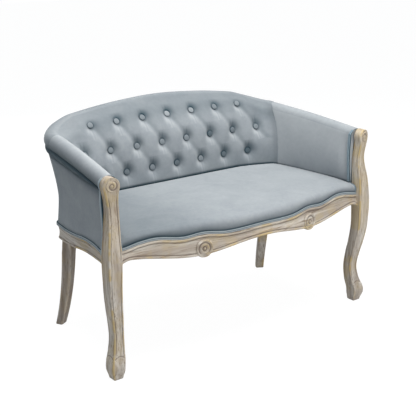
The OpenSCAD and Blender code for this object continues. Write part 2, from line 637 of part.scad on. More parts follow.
module inside_arm() {
    lower = function(p) [p.x, p.y, pad_foot_z];
    ss = steps(1, 0, 5);
    hs = [for (i = [1:len(back_rows) - 1])
        ramp(back_z(inner_end(rim_rear_z).x, back_rows[i]), seat_h, rim_rear_z - chin_drop - 3 * fit)];
    padding(
        concat([[for (s = ss) lower(arm_face(s, 0))]], [for (h = hs) [for (s = ss) arm_face(s, h)]]),
        concat([[for (s = ss) lower(arm_back(s, 0))]], [for (h = hs) [for (s = ss) arm_back(s, h)]])
    );
}

// Arm rolls: tapered, slotted to sit over the arm rails
module arm_roll() {
    run = [-arm_toe_in, arm_run, arm_rise];
    pitch = atan2(arm_rise, arm_length);
    over = 40;
    taper = (roll_d - arm_roll_front_d) / 2 / norm(run);
    difference() {
        intersection() {
            translate([rim_front_x, rim_front_y, rim_front_z])
                rotate([0, 0, arm_yaw]) rotate([pitch - 90, 0, 0]) translate([0, 0, -over])
                cylinder(h = norm(run) + 2 * over,
                    r1 = arm_roll_front_d / 2 - over * taper, r2 = roll_d / 2 + over * taper);
            translate([0, rim_front_y, 0]) cube([overall_w, arm_run - fit, back_h]);
        }
        along_arm(-roll_d, rail_up + fit, -board_t / 2 - fit, board_t / 2 + fit, -over, arm_length + over);
        along_arm(-roll_d, -chin_drop, -roll_d, 0, -over, arm_length + over);
        along_arm(-roll_d, -seam_drop, 0, roll_d, -over, arm_length + over);
    }
}

// Crest roll: swept round the corners, slotted over the top rail, its chin running down to the inside back
function chin(u) =
    let(z = chin_z(u), end = inner_end(rim_rear_z).x, a = (u - 1) * 90,
        x = u <= 2 ? corner_x + (end - corner_x) * cos(a) : corner_x * (3 - u))
    [x, inner_y(x, z), z];
function crest_ring(u) =
    let(r = roll_d / 2, c = rim(u), n = rim_out(u), z = rim_z(u), p = chin(u),
        a = (p.x - c.x) * n.x + (p.y - c.y) * n.y, b = p.z - z, slot = rail_gap,
        first = 180 + atan2(-b, -a) - max(4, acos(min(1, r / norm([a, b])))), last = -asin(seam_drop / r),
        roof = rail_up + 2 * fit,
        section = concat(
            [for (t = steps(first, last, 8)) [r * cos(t), r * sin(t)]],
            [[slot, -seam_drop], [slot, roof], [-slot, roof], [-slot, min(b, rail_up)]]
        ))
    concat([p], [for (q = section) [c.x + n.x * q.x, c.y + n.y * q.x, z + q.y]]);
module back_roll() {
    color(velvet) skin(both_sides([for (u = back_stations) backwards(crest_ring(u))]));
}

// Outside covers, from the hem above the aprons up to the seam under the roll
arm_stations = steps(0, 1, 14);
corner_stations = steps(1.1, 1.5 - fit / 100, 4);
function cover_sheet(us, inset) = [for (h = steps(0, 1, 6)) [for (u = us)
    outer(u, lerp(hem_z(u) + fit, seam_z(u), h), inset)]];
module outside_arm() {
    us = concat(arm_stations, corner_stations);
    padding(cover_sheet(us, 0), cover_sheet(us, cover_t));
}
module outside_back() {
    half = concat(steps(1.5 + fit / 100, 2, 4), steps(2.12, 3, 7));
    sheet = function(inset) [for (row = cover_sheet(half, inset))
        concat(row, [for (i = [len(row) - 2:-1:0]) [-row[i].x, row[i].y, row[i].z]])];
    color(velvet) padding(sheet(0), sheet(cover_t));
}

// Double welts: twin cords side by side, as [across, proud] points
welt_section = [for (p = [
    [0, 0], [0.04, 0.65], [0.25, 1], [0.46, 0.6], [0.54, 0.6], [0.75, 1], [0.96, 0.65], [1, 0]
]) [p.x * welt_w, p.y * welt_t]];
module seat_welt() {
    end = post_x - 19;
    color(velvet) skin([for (x = steps(-end, end, 40)) [for (p = welt_section)
        [x, apron_face(x) + apron_t - lip_in - p.y, apron_top(x) + fit + p.x]]]);
}
function hem_welt_ring(u) = [for (p = welt_section) outer(u, hem_z(u) + fit + p.x, -fit - p.y)];
module side_welt() {
    first = (welt_w + fit) / hem_run;
    skin([for (u = concat([first], [for (i = [1:14]) arm_stations[i]], corner_stations)) hem_welt_ring(u)]);
}
module back_welt() {
    us = concat(steps(1.5 + fit / 100, 2, 4), steps(2.25, 3, 4));
    color(velvet) skin(both_sides([for (u = us) hem_welt_ring(u)]));
}
module post_welt() {
    skin([for (z = steps(hem_z(0) + fit, seam_z(0), 6)) [for (p = backwards(welt_section))
        outer(p.x / hem_run, z, -fit - p.y)]]);
    skin([for (h = steps(0, 0.98, 6)) [for (p = welt_section)
        let(q = arm_face(p.x / (inner_rear_y - outer_front_y), h)) [q.x - fit - p.y, q.y, q.z]]]);
}

// The pieces by name, the sitter's left at +X
module front_left_post() { color(wood) side(1) front_post(); }
module front_right_post() { color(wood) side(-1) front_post(); }
module rear_left_leg() { color(wood) side(1) rear_leg(); }
module rear_right_leg() { color(wood) side(-1) rear_leg(); }
module left_apron() { color(wood) side(1) side_apron(); }
module right_apron() { color(wood) side(-1) side_apron(); }
module left_arm_rail() { color(raw_wood) side(1) arm_rail(); }
module right_arm_rail() { color(raw_wood) side(-1) arm_rail(); }
module left_arm_slat() { color(raw_wood) side(1) arm_slat(); }
module right_arm_slat() { color(raw_wood) side(-1) arm_slat(); }
module left_inside_arm() { color(velvet) side(1) inside_arm(); }
module right_inside_arm() { color(velvet) side(-1) inside_arm(); }
module left_arm_roll() { color(velvet) side(1) arm_roll(); }
module right_arm_roll() { color(velvet) side(-1) arm_roll(); }
module left_outside_arm() { color(velvet) side(1) outside_arm(); }
module right_outside_arm() { color(velvet) side(-1) outside_arm(); }
module left_side_welt() { color(dark_velvet) side(1) side_welt(); }
module right_side_welt() { color(dark_velvet) side(-1) side_welt(); }
module left_post_welt() { color(dark_velvet) side(1) post_welt(); }
module right_post_welt() { color(dark_velvet) side(-1) post_welt(); }

front_left_post();
front_right_post();
rear_left_leg();
rear_right_leg();
front_apron();
left_apron();
right_apron();
rear_rail();
corner_blocks();
left_arm_rail();
right_arm_rail();
left_arm_slat();
right_arm_slat();
back_top_rail();
back_slat();
back_stile();
seat_webbing();
cross_webbing();
dust_cover();
seat_cushion();
inside_back();
back_buttons();
left_inside_arm();
right_inside_arm();
left_arm_roll();
right_arm_roll();
back_roll();
left_outside_arm();
right_outside_arm();
outside_back();
seat_welt();
left_side_welt();
right_side_welt();
back_welt();
left_post_welt();
right_post_welt();
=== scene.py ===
"""Two-seat show-wood settee: carved limed-oak legs and aprons round a tub of blue-grey velvet, tufted inside.
Origin at the bottom centre, +X to the sitter's left, +Y to the back, +Z up. Worked out in millimetres."""
import math

import bmesh
import bpy
from mathutils import Matrix, Vector, noise
from mathutils.bvhtree import BVHTree


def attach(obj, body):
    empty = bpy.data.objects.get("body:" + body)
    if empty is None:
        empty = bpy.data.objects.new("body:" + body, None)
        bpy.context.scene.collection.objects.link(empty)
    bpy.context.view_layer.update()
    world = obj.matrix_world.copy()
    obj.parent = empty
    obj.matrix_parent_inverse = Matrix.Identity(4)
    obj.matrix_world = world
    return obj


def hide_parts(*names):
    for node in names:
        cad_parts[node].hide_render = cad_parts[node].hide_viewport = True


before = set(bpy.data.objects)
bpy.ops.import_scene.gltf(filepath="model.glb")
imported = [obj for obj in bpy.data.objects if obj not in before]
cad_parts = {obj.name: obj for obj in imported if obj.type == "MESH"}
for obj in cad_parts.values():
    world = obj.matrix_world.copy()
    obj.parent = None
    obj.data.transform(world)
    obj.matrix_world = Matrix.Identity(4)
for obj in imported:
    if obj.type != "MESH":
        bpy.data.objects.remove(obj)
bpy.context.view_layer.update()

MM = 0.001

# Sizes of the whole
OVERALL_W = 1120
OVERALL_D = 662
BACK_H = 771
SEAT_H = 462
SEAT_CROWN = 22
SEAT_BULGE = 7
DECK_H = 404
ARM_FRONT_H = 659
ARM_REAR_H = 700
ARM_TOE_IN = 51
ARM_ROLL_FRONT_D = 54
ROLL_D = 60
BACK_LEAN = 154         # from the foot of the inside back to the roll's centre line
BACK_RAKE = 69          # how much of it the face has leant back at the top row of buttons
CORNER_R = 115
CREST_FALL = 34         # from the middle of the back to its corners
CORNER_FALL = 30        # and on to the middle of the bend

# Tufting
PITCH = 108
BUTTON_D = 24
LOW_ROW_H = 534
MIDDLE_ROW_H = 617
TOP_ROW_H = 705
TUFT_DEPTH = 17
DIMPLE_R = 22
FOLD_DEPTH = 4.5
CREASE_DEPTH = 0.8
CREASES_LIE = (101, 79, -57, -123, -90)

# Legs and aprons
KNEE_SIDE = 49
ANKLE_SIDE = 37
REAR_LEG_SIDE = 38
REAR_KICK = 56          # how far a rear foot stands back
REAR_SPLAY = 16         # and out
REAR_TAPER = 7
REAR_TURN = 30          # degrees by which a rear leg is turned out below the seat frame
SCROLL_W = 52
SCROLL_DEPTH = 36
SCROLL_TURN = 14
SCROLL_DISC_D = 38
SCROLL_DISC_RISE = 3.2
HEAD_OUT = 3            # how far the scroll stands out from the post, to the front and the side
TOE_H = 66
TOE_ARCH = 12
TOE_CUT = 1.5
APRON_BOW = 76
BOW_ROUND = 80
APRON_T = 26
APRON_EDGE_H = 377
APRON_WAVE = 13.5
APRON_WAVE_RUN = 500
ROSETTE_D = 61
ROSETTE_X = 227
ROSETTE_H = 386
ROSETTE_RISE = 6
ROSETTE_SET = 4         # how deep a rosette is let into the apron
APRON_FRONT = 18
LIP_IN = 12             # from the apron's back to the lip that holds the seat
STILE_SIDE = 26
LEG_TOP_Z = 340
LEG_EDGE_R = 4
STILE_RISE = 30         # height over which a rear leg thins to its stile

# Covers and welts
COVER_T = 4
WELT_W = 10
WELT_T = 5
END_CORD_R = 3.8
OUTER_CORD_UP = 1.6     # how much prouder the cords outside a post are
OUTER_CORD_BACK = 1.5
FIT = 0.3
BOARD_T = 18
RAIL_T = 20
RAIL_UP = 8             # top of a rail above the roll's centre line
ARM_BULGE = 12
SEAM_BACK = 6           # from the inside back's end to the seam beside the arm, at the seat
SEAM_RUN = 27           # and at the roll, along the rim
SEAM_PULL = 0.9
ROUND_IN = 13           # how far the inside arm rounds in at its back end
JOIN_TURN = 15          # degrees round the roll at which an inside face joins it
PAD_FOOT_Z = SEAT_H - 20
CHIN_DROP = 10          # from the roll's centre line to the padding under it
WAIST_Z = 490
SEAM_DROP = 17          # from the roll's centre line to the seam outside
FLARE = 1.45            # how late the outside covers swing out to the roll
DUST_Z = 390
CLOTH_SAG = 5
SEAT_FOOT_Z = DECK_H + 3.3
JOIN_GAP = 5
BUTTON_LIFT = 0.5
SEAT_ROUND = 12
SEAT_NOSE = 22
SEAT_SIDE_ROUND = 22

# Places that follow from them
POST_X = OVERALL_W / 2 - 30.7
POST_Y = -OVERALL_D / 2 + APRON_FRONT + APRON_BOW
RIM_FRONT_X = POST_X - 4
RIM_FRONT_Y = POST_Y + SCROLL_DEPTH / 2 + FIT
RIM_REAR_X = RIM_FRONT_X - ARM_TOE_IN
RIM_Y = OVERALL_D / 2 - ROLL_D / 2
CORNER_X = RIM_REAR_X - CORNER_R
CORNER_Y = RIM_Y - CORNER_R
RIM_FRONT_Z = ARM_FRONT_H - ARM_ROLL_FRONT_D / 2
RIM_REAR_Z = ARM_REAR_H - ROLL_D / 2
RIM_MIDDLE_Z = BACK_H - ROLL_D / 2
RIM_CORNER_Z = RIM_MIDDLE_Z - CREST_FALL
INNER_FRONT_X = POST_X - 22
INNER_REAR_X = RIM_REAR_X - 33
INNER_REAR_Y = CORNER_Y - 77
INNER_BACK_Y = RIM_Y - BACK_LEAN
INNER_STRAIGHT = INNER_REAR_X - 172
OUTER_FRONT_Y = POST_Y + 22
OUTER_CORNER_R = 40
HEM_REAR_X = POST_X - 40
HEM_BACK_Y = RIM_Y - 92
RAIL_BACK_Y = HEM_BACK_Y - COVER_T - 1.2
BLOCK_X = HEM_REAR_X - APRON_T - FIT - REAR_LEG_SIDE / 2
BLOCK_Y = HEM_BACK_Y - COVER_T - 3 - REAR_LEG_SIDE / 2
STILE_X = RIM_REAR_X - BOARD_T / 2 - FIT - STILE_SIDE / 2
STILE_Y = HEM_BACK_Y - 28
SCROLL_Z = ARM_FRONT_H - SCROLL_W / 2
NECK_Z = SCROLL_Z - 15
APRON_HALF = POST_X - 19
BOW_HALF = POST_X - 18
OUTER_RUN = HEM_BACK_Y - OUTER_CORNER_R - OUTER_FRONT_Y
SEAT_HALF = POST_X - 22.5
ARM_RUN = CORNER_Y - RIM_FRONT_Y
SEAM_Y = INNER_REAR_Y - SEAM_BACK
SEAM_U = 1 - SEAM_RUN / ARM_RUN
INNER_BEND = math.radians(90) * (CORNER_R - ROLL_D / 2)
FOLD_LIE = Vector((PITCH / 2, TOP_ROW_H - MIDDLE_ROW_H)).normalized()


def lerp(a, b, t):
    return a + (b - a) * t


def mix(a, b, t):
    return [lerp(p, q, t) for p, q in zip(a, b)]


def ramp(x, a, b):
    return min(1.0, max(0.0, (x - a) / (b - a)))


def ease(x, a, b):
    t = ramp(x, a, b)
    return t * t * (3 - 2 * t)


def hump(x, width):
    return math.exp(-((x / width) ** 2))


def steps(a, b, n):
    return [lerp(a, b, i / n) for i in range(n + 1)]


def smooth(knots, x):
    """A soft curve through (x, y) knots, level beyond the first and the last."""
    i = 0
    while i < len(knots) - 2 and x >= knots[i + 1][0]:
        i += 1

    def slope(k):
        if k == 0 or k == len(knots) - 1:
            return 0.0
        return (knots[k + 1][1] - knots[k - 1][1]) / (knots[k + 1][0] - knots[k - 1][0])

    h = knots[i + 1][0] - knots[i][0]
    t = ramp(x, knots[i][0], knots[i + 1][0])
    return ((2 * t**3 - 3 * t**2 + 1) * knots[i][1] + (t**3 - 2 * t**2 + t) * h * slope(i)
            + (3 * t**2 - 2 * t**3) * knots[i + 1][1] + (t**3 - t**2) * h * slope(i + 1))


# Lines of the shell

def rim(u):
    """Centre line of the roll: u runs from the post (0) to the corner (1 to 2) and the back's middle (3)."""
    if u <= 1:
        return lerp(RIM_FRONT_X, RIM_REAR_X, u), lerp(RIM_FRONT_Y, CORNER_Y, u)
    if u <= 2:
        a = math.radians((u - 1) * 90)
        return CORNER_X + CORNER_R * math.cos(a), CORNER_Y + CORNER_R * math.sin(a)
    return CORNER_X * (3 - u), RIM_Y


def rim_out(u):
    """Direction in which the roll faces out, in plan."""
    a = math.radians(min(1, max(0, u - 1)) * 90)
    return math.cos(a), math.sin(a)


def rim_z(u):
    """Height of the roll's centre line, fuller along the arm, at the corner and beside the middle."""
    full = 4 * math.sin(math.pi * min(1, u)) + 5 * hump(u - 1.55, 0.22) + 3 * hump(u - 2.3, 0.3)
    if u <= 1:
        return full + lerp(RIM_FRONT_Z, RIM_REAR_Z, u)
    return full + smooth([(0, RIM_FRONT_Z), (1, RIM_REAR_Z), (1.5, RIM_CORNER_Z - CORNER_FALL),
                          (2, RIM_CORNER_Z), (3, RIM_MIDDLE_Z), (4, RIM_CORNER_Z)], u)


def roll_r(u):
    return lerp(ARM_ROLL_FRONT_D, ROLL_D, min(1, u)) / 2


def lean(z):
    """How far back the middle of the inside back leans, slowly at first."""
    h = max(0.0, (z - SEAT_H) / (TOP_ROW_H - SEAT_H))
    return 0.45 * h + 0.55 * h**5


def tuck(z):
    """0 at the seat, 1 where the inside faces run under the arm's roll."""
    return ramp(z, SEAT_H, RIM_REAR_Z - CHIN_DROP)


def inner_end(z):
    """Where the inside back meets the inside arm at height z."""
    reach = RIM_REAR_X - INNER_REAR_X - math.sqrt(ROLL_D**2 / 4 - CHIN_DROP**2)
    return INNER_REAR_X + reach * tuck(z), lerp(INNER_REAR_Y, CORNER_Y, tuck(z) ** 4)


def inner_y(x, z):
    """Surface of the inside back before it is tufted."""
    end_x, end_y = inner_end(z)
    middle = INNER_BACK_Y + BACK_RAKE * lean(z)
    t = tuck(z) ** 4
    start = lerp(INNER_STRAIGHT, CORNER_X, t)
    c = min(1.0, max(0.0, (abs(x) - start) / (end_x - start)))
    return end_y + (middle - end_y) * lerp(1 - c, math.sqrt(1 - c * c), lerp(0.2, 1, t))


def level(front_x, rear_x, back_y):
    """Outline of the shell at a height: x at a post and at the back, centre of the corner, y of the back."""
    return front_x, rear_x, back_y - OUTER_CORNER_R, rear_x - OUTER_CORNER_R, back_y


def seam_out(u):
    """How far the seam under the roll lies outside the roll's centre line."""
    return math.sqrt(roll_r(u) ** 2 - SEAM_DROP**2)


def seam_z(u):
    return rim_z(u) - SEAM_DROP - FIT


def seam_t(u):
    """The seam's place round the roll, in degrees."""
    return -math.degrees(math.asin(SEAM_DROP / roll_r(u)))


HEM = level(POST_X + 18, HEM_REAR_X, HEM_BACK_Y)
WAIST = level(POST_X + 10, HEM_REAR_X - 5, HEM_BACK_Y - 4)
SHOULDER = (RIM_FRONT_X + seam_out(0), RIM_REAR_X + seam_out(1), CORNER_Y, CORNER_X, RIM_Y + seam_out(1))


def on_level(u, outline, inset):
    """Point of an outline, drawn in by inset. u runs as it does for the roll."""
    front_x, rear_x, corner_y, corner_x, back_y = outline
    if u <= 1:
        return lerp(front_x, rear_x, u) - inset, lerp(OUTER_FRONT_Y, corner_y, u)
    if u <= 2:
        a = math.radians((u - 1) * 90)
        return (corner_x + (rear_x - corner_x - inset) * math.cos(a),
                corner_y + (back_y - corner_y - inset) * math.sin(a))
    return corner_x * (3 - u), back_y - inset


def outer(u, z, inset):
    """Outside surface, from the hem over the waist to the flare under the roll."""
    if z < WAIST_Z:
        outline = mix(WAIST, HEM, ((WAIST_Z - max(z, DECK_H)) / (WAIST_Z - DECK_H)) ** 1.5)
    else:
        outline = mix(WAIST, SHOULDER, ramp(z, WAIST_Z, seam_z(u)) ** FLARE)
    return on_level(u, outline, inset)


def hem_z(u):
    """Top of the side and back wood, on which the outside covers end."""
    return DECK_H + smooth([(0, 5), (0.2, 10), (0.4, 6), (0.6, -5), (0.8, -13), (1, -15), (2, -14),
                            (3, -14)], u)


def shown_seam_z(u):
    """The seam under the roll drops from the post towards the back corner."""
    return seam_z(u) - smooth([(0, 0), (0.25, 11), (0.5, 18), (1, 23), (2, 18), (3, 12)], u)


def chin_z(u):
    """Where the inside faces run into the roll."""
    over = roll_r(SEAM_U) * math.sin(math.radians(JOIN_TURN))
    return rim_z(face_u(u)) + smooth([(1, over), (1.5, over), (2, 8), (3, -6), (4, 8)], u)


def face_u(u):
    """Place along the rim of an inside face at u: its seam to the arm stands in front of the corner."""
    if u <= 1:
        return u * SEAM_U
    if u >= 2:
        return u
    d = (u - 1) * (SEAM_RUN + INNER_BEND) - SEAM_RUN
    return 1 + d / (ARM_RUN if d < 0 else INNER_BEND)


def roll_point(u, t, pull=0.0):
    """The roll's surface at t degrees round its centre line, 180 being inside and 90 on top."""
    c = rim(u)
    n = rim_out(u)
    r = roll_r(u) - pull
    out = r * math.cos(math.radians(t))
    return c[0] + n[0] * out, c[1] + n[1] * out, rim_z(u) + r * math.sin(math.radians(t))


def over_roll(u, t, pull):
    """The same, sheared so that the seam on the inside face runs on over the roll in one line."""
    return roll_point(lerp(face_u(u), u, ease(t, 180 - JOIN_TURN, 90)), t, pull)


def arm_foot_x(y):
    """Foot of the inside arm, which rounds in towards the back corner."""
    s = ramp(y, OUTER_FRONT_Y, INNER_REAR_Y)
    return lerp(INNER_FRONT_X, INNER_REAR_X, s) - ROUND_IN * ramp(s, 0.7, 1) ** 2


def solve(line, wanted, low, high):
    """Where a line that only falls from low to high passes the wanted value."""
    for _ in range(30):
        middle = (low + high) / 2
        if line(middle) > wanted:
            low = middle
        else:
            high = middle
    return low


def arm_face(s, h):
    """Inside arm: h runs from the seat up to the roll, s from the post to the seam beside the back."""
    y = lerp(OUTER_FRONT_Y, SEAM_Y, s)
    top = roll_point(s * SEAM_U, 180 - JOIN_TURN)
    x, z = mix((arm_foot_x(y), SEAT_H), (top[0], top[2]), h)
    y = lerp(y, top[1], h**3)
    full = 0.3 + 0.7 * ease(s, 0, 0.15) * ease(s, 1.1, 0.7)
    return x - ARM_BULGE * full * math.sin(math.pi * h), y, z


def corner_face(w, z):
    """Inside back between its seam to the arm (w = 0) and the end of its straight run (1)."""
    height = ramp(z, SEAT_H, arm_face(1, 1)[2])
    seam = Vector(arm_face(1, height)[:2])
    along = (seam - Vector(arm_face(0.97, height)[:2])).normalized()
    far = Vector((CORNER_X, inner_y(CORNER_X, z)))
    slope = (inner_y(CORNER_X + 1, z) - inner_y(CORNER_X - 1, z)) / 2
    t = tuck(z) ** 2
    handles = seam, seam + lerp(30, 50, t) * along, far + lerp(46, 42, t) * Vector((1, slope)), far
    weights = (1 - w) ** 3, 3 * (1 - w) ** 2 * w, 3 * (1 - w) * w**2, w**3
    return sum((k * p for k, p in zip(weights, handles)), Vector((0, 0)))


def corner_y(x, z):
    """The same surface by its x."""
    return corner_face(solve(lambda w: corner_face(w, z).x, abs(x), 0, 1), z).y


def seat_ends(x):
    """The seat's crown falls away towards both arms."""
    return 1 - min(1, abs(x / SEAT_HALF)) ** 6


def join_z(x):
    """Height at which the seat meets the covers round it."""
    return SEAT_H + SEAT_CROWN * seat_ends(x) - 5


# Lines of the aprons

def bow(x):
    """The plan of the front apron: an arc in the middle that runs out straight, 0 there and 1 at a post."""
    return (math.hypot(x, BOW_ROUND) - BOW_ROUND) / (math.hypot(BOW_HALF, BOW_ROUND) - BOW_ROUND)


def apron_face(x):
    return POST_Y - APRON_FRONT - APRON_BOW * (1 - bow(x))


def apron_top(x):
    """The front apron's upper edge rises in a wave towards each post."""
    return DECK_H + smooth([(-90, 17), (0, 22), (140, 16.5), (225, 26), (300, 21), (385, 33), (440, 29),
                            (BOW_HALF, 16)], abs(x))


def apron_edge(x):
    """The front apron's lower edge waves, and drops a little where it meets a post."""
    wave = APRON_WAVE * math.cos(math.radians(abs(x) * 360 / APRON_WAVE_RUN))
    return APRON_EDGE_H + wave - 14 * max(0, (abs(x) - POST_X + 55) / 37) ** 2


def side_edge(u):
    """Lower edge of a side apron."""
    return APRON_EDGE_H + smooth([(0, -11), (0.06, -4), (0.2, -4), (0.31, -6), (0.41, -9), (0.54, -16),
                                  (0.67, -25), (0.85, -33), (1, -36), (2, -36)], u)


# Making of pieces

def new_work():
    """An empty bmesh whose points say how they are carved, and what light and shade is painted on them."""
    work = bmesh.new()
    work.verts.layers.float.new("carve_and_shade")
    return work


def lay(work, rings, round_again=True, capped=True):
    """Lays a grid over rings of (x, y, z, carve, tag) points and closes it. carve is -1 in a groove or in
    shade, and 1 on an edge or in light. Tagged points are smoothed later."""
    m = len(rings)
    n = len(rings[0])
    columns = n if round_again else n - 1
    made = bmesh.ops.create_grid(work, x_segments=columns, y_segments=m - 1, size=1)["verts"]
    carve_and_shade = work.verts.layers.float["carve_and_shade"]
    for k, vert in enumerate(made):
        i, j = divmod(k, columns + 1)
        point = rings[i][j % n]
        vert.co = Vector(point[:3]) * MM
        vert[carve_and_shade] = point[3] if len(point) > 3 else 0.0
        vert.tag = len(point) > 4 and point[4]
    bmesh.ops.remove_doubles(work, verts=made, dist=1e-6)
    made = [v for v in made if v.is_valid]
    if capped:
        rims = {e for v in made for e in v.link_edges if e.is_boundary}
        bmesh.ops.holes_fill(work, edges=list(rims), sides=0)
    return made


def finish_piece(work, name, material, nodes, crease):
    """Turns the work into an object that stands for the named frame nodes."""
    bmesh.ops.recalc_face_normals(work, faces=work.faces)
    for face in work.faces:
        face.smooth = True
    mesh = bpy.data.meshes.new(name)
    work.to_mesh(mesh)
    work.free()
    mesh.set_sharp_from_angle(angle=math.radians(crease))
    mesh.materials.append(material)
    piece = bpy.data.objects.new(name, mesh)
    bpy.context.collection.objects.link(piece)
    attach(piece, "root")
    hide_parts(*nodes)
    return piece


def ringed_piece(rings, name, material, nodes, crease):
    work = new_work()
    lay(work, rings)
    return finish_piece(work, name, material, nodes, crease)


def mirrored(rings):
    return [[(-p[0],) + tuple(p[1:]) for p in ring] for ring in rings]


def sided(side, rings):
    return rings if side > 0 else mirrored(rings)


def both_sides(rings):
    """Rings from the right end to the middle, and on to the left end."""
    return rings + mirrored(rings[-2::-1])


def cloud(x, y, z, size, seed):
    """Slow, seeded unevenness between -1 and 1."""
    return noise.noise(Vector((x / size + seed, y / size - seed, z / size + 2 * seed)))


# Materials

def new_material(name):
    material = bpy.data.materials.new(name)
    material.use_nodes = True
    nodes = material.node_tree.nodes
    shader = nodes["Principled BSDF"]
    return material, material.node_tree, shader


def put(tree, node, **values):
    """Sets a node's sockets by name or number, and links those whose value is another node's output."""
    for name, value in values.items():
        if hasattr(node, name):
            setattr(node, name, value)
            continue
        socket = node.inputs[int(name[2:]) if name.startswith("in") else name.replace("_", " ")]
        if isinstance(value, bpy.types.NodeSocket):
            tree.links.new(value, socket)
        else:
            socket.default_value = value
    return node


def add(tree, kind, **values):
    return put(tree, tree.nodes.new(kind), **values)


def calc(tree, operation, a, b):
    return add(tree, "ShaderNodeMath", operation=operation, in0=a, in1=b).outputs[0]


def between(tree, value, start, end, low=0.0, high=1.0):
    """Goes from low to high while value goes from start to end, and stays level beyond them."""
    return add(tree, "ShaderNodeMapRange", Value=value, in1=start, in2=end, in3=low, in4=high).outputs[0]


WHITE = (1, 1, 1, 1)
BLACK = (0, 0, 0, 1)


def ramp_between(tree, fac, *stops):
    """A colour ramp of (place, colour) stops."""
    node = add(tree, "ShaderNodeValToRGB", in0=fac)
    elements = node.color_ramp.elements
    while len(elements) > 1:
        elements.remove(elements[-1])
    elements[0].position, elements[0].color = stops[0]
    for place, colour in stops[1:]:
        elements.new(place).color = colour
    return node.outputs["Color"]


def srgb(r, g, b):
    """A display colour of 0 to 255 as a linear colour."""
    def linear(c):
        c /= 255
        return c / 12.92 if c <= 0.04045 else ((c + 0.055) / 1.055) ** 2.4
    return linear(r), linear(g), linear(b), 1.0


def blend_colours(tree, fac, a, b):
    return add(tree, "ShaderNodeMix", data_type="RGBA", in0=fac, in6=a, in7=b).outputs[2]


def stretched_coords(tree, scale=(1, 1, 1)):
    coords = add(tree, "ShaderNodeTexCoord").outputs["Object"]
    return add(tree, "ShaderNodeMapping", Vector=coords, Scale=scale).outputs["Vector"]


def noise_at(tree, vector, scale, detail, rough, distort=0.0):
    return add(tree, "ShaderNodeTexNoise", Vector=vector, Scale=scale, Detail=detail, Roughness=rough,
               Distortion=distort).outputs["Fac"]


def carve_and_shade_at(tree):
    """What the pieces' points say of grooves and edges, and of the light and shade painted on them."""
    return add(tree, "ShaderNodeAttribute", attribute_name="carve_and_shade").outputs["Fac"]


def bumped(tree, strength, distance, height):
    return add(tree, "ShaderNodeBump", Strength=strength, Distance=distance, Height=height).outputs[0]


def limed_oak(name, along):
    """Oak with white lime rubbed into the grain and an ochre wash on its edges. along is the grain's axis."""
    material, tree, shader = new_material(name)
    fine = [95.0, 95.0, 95.0]
    broad = [26.0, 26.0, 26.0]
    fine[along] = 4.0
    broad[along] = 2.2
    if along < 2:
        fine[1 - along] = 10.0
        broad[1 - along] = 6.0
    grain = noise_at(tree, stretched_coords(tree, fine), 3.0, 6.0, 0.65)
    figure = noise_at(tree, stretched_coords(tree, broad), 1.0, 4.0, 0.6, 1.4)
    patches = noise_at(tree, stretched_coords(tree), 13.0, 3.0, 0.55)
    carve_and_shade = carve_and_shade_at(tree)
    wood = ramp_between(tree, figure, (0.3, srgb(150, 138, 129)), (0.48, srgb(182, 172, 161)),
                        (0.66, srgb(210, 204, 196)))
    streaks = ramp_between(tree, grain, (0.36, WHITE), (0.47, BLACK))
    wood = blend_colours(tree, calc(tree, "MULTIPLY", streaks, 0.75), wood, srgb(112, 95, 80))
    # Ochre wash, strongest on the edges and in worn patches; where the points' value is raised to light a
    # face in shade, it is painted light too.
    edge = between(tree, carve_and_shade, 0.25, 1.0, low=0.3)
    worn = ramp_between(tree, patches, (0.47, (0.05, 0.05, 0.05, 1)), (0.58, WHITE))
    ochre = calc(tree, "MULTIPLY", calc(tree, "MULTIPLY", edge, worn), 0.85)
    wood = blend_colours(tree, ochre, wood, srgb(190, 166, 114))
    height = add(tree, "ShaderNodeSeparateXYZ", Vector=stretched_coords(tree)).outputs["Z"]
    warm = between(tree, height, 0.36, 0.6, high=0.2)
    wood = blend_colours(tree, warm, wood, srgb(202, 180, 138))
    # Painted shade darkens the wood low down, where the legs lie under the seat.
    painted_low_shade = between(tree, height, 0.36, 0.15, high=0.12)
    wood = blend_colours(tree, painted_low_shade, wood, srgb(122, 112, 108))
    # Grooves are darkened; the same mask also paints shade over a whole rear leg whose points carry it.
    groove = calc(tree, "MULTIPLY", between(tree, carve_and_shade, -0.15, -1.0), 0.85)
    wood = blend_colours(tree, groove, wood, srgb(98, 84, 76))
    put(tree, shader, Base_Color=wood, Specular_IOR_Level=0.3, Normal=bumped(tree, 0.35, 0.0006, grain),
        Roughness=between(tree, grain, 0.0, 1.0, low=0.52, high=0.78))
    return material


def plain_wood(name):
    """Unfinished beech of the hidden frame."""
    material, tree, shader = new_material(name)
    grain = noise_at(tree, stretched_coords(tree, (6, 60, 60)), 2.0, 5.0, 0.6)
    colour = ramp_between(tree, grain, (0.3, srgb(178, 139, 93)), (0.7, srgb(214, 180, 132)))
    put(tree, shader, Base_Color=colour, Roughness=0.7)
    return material


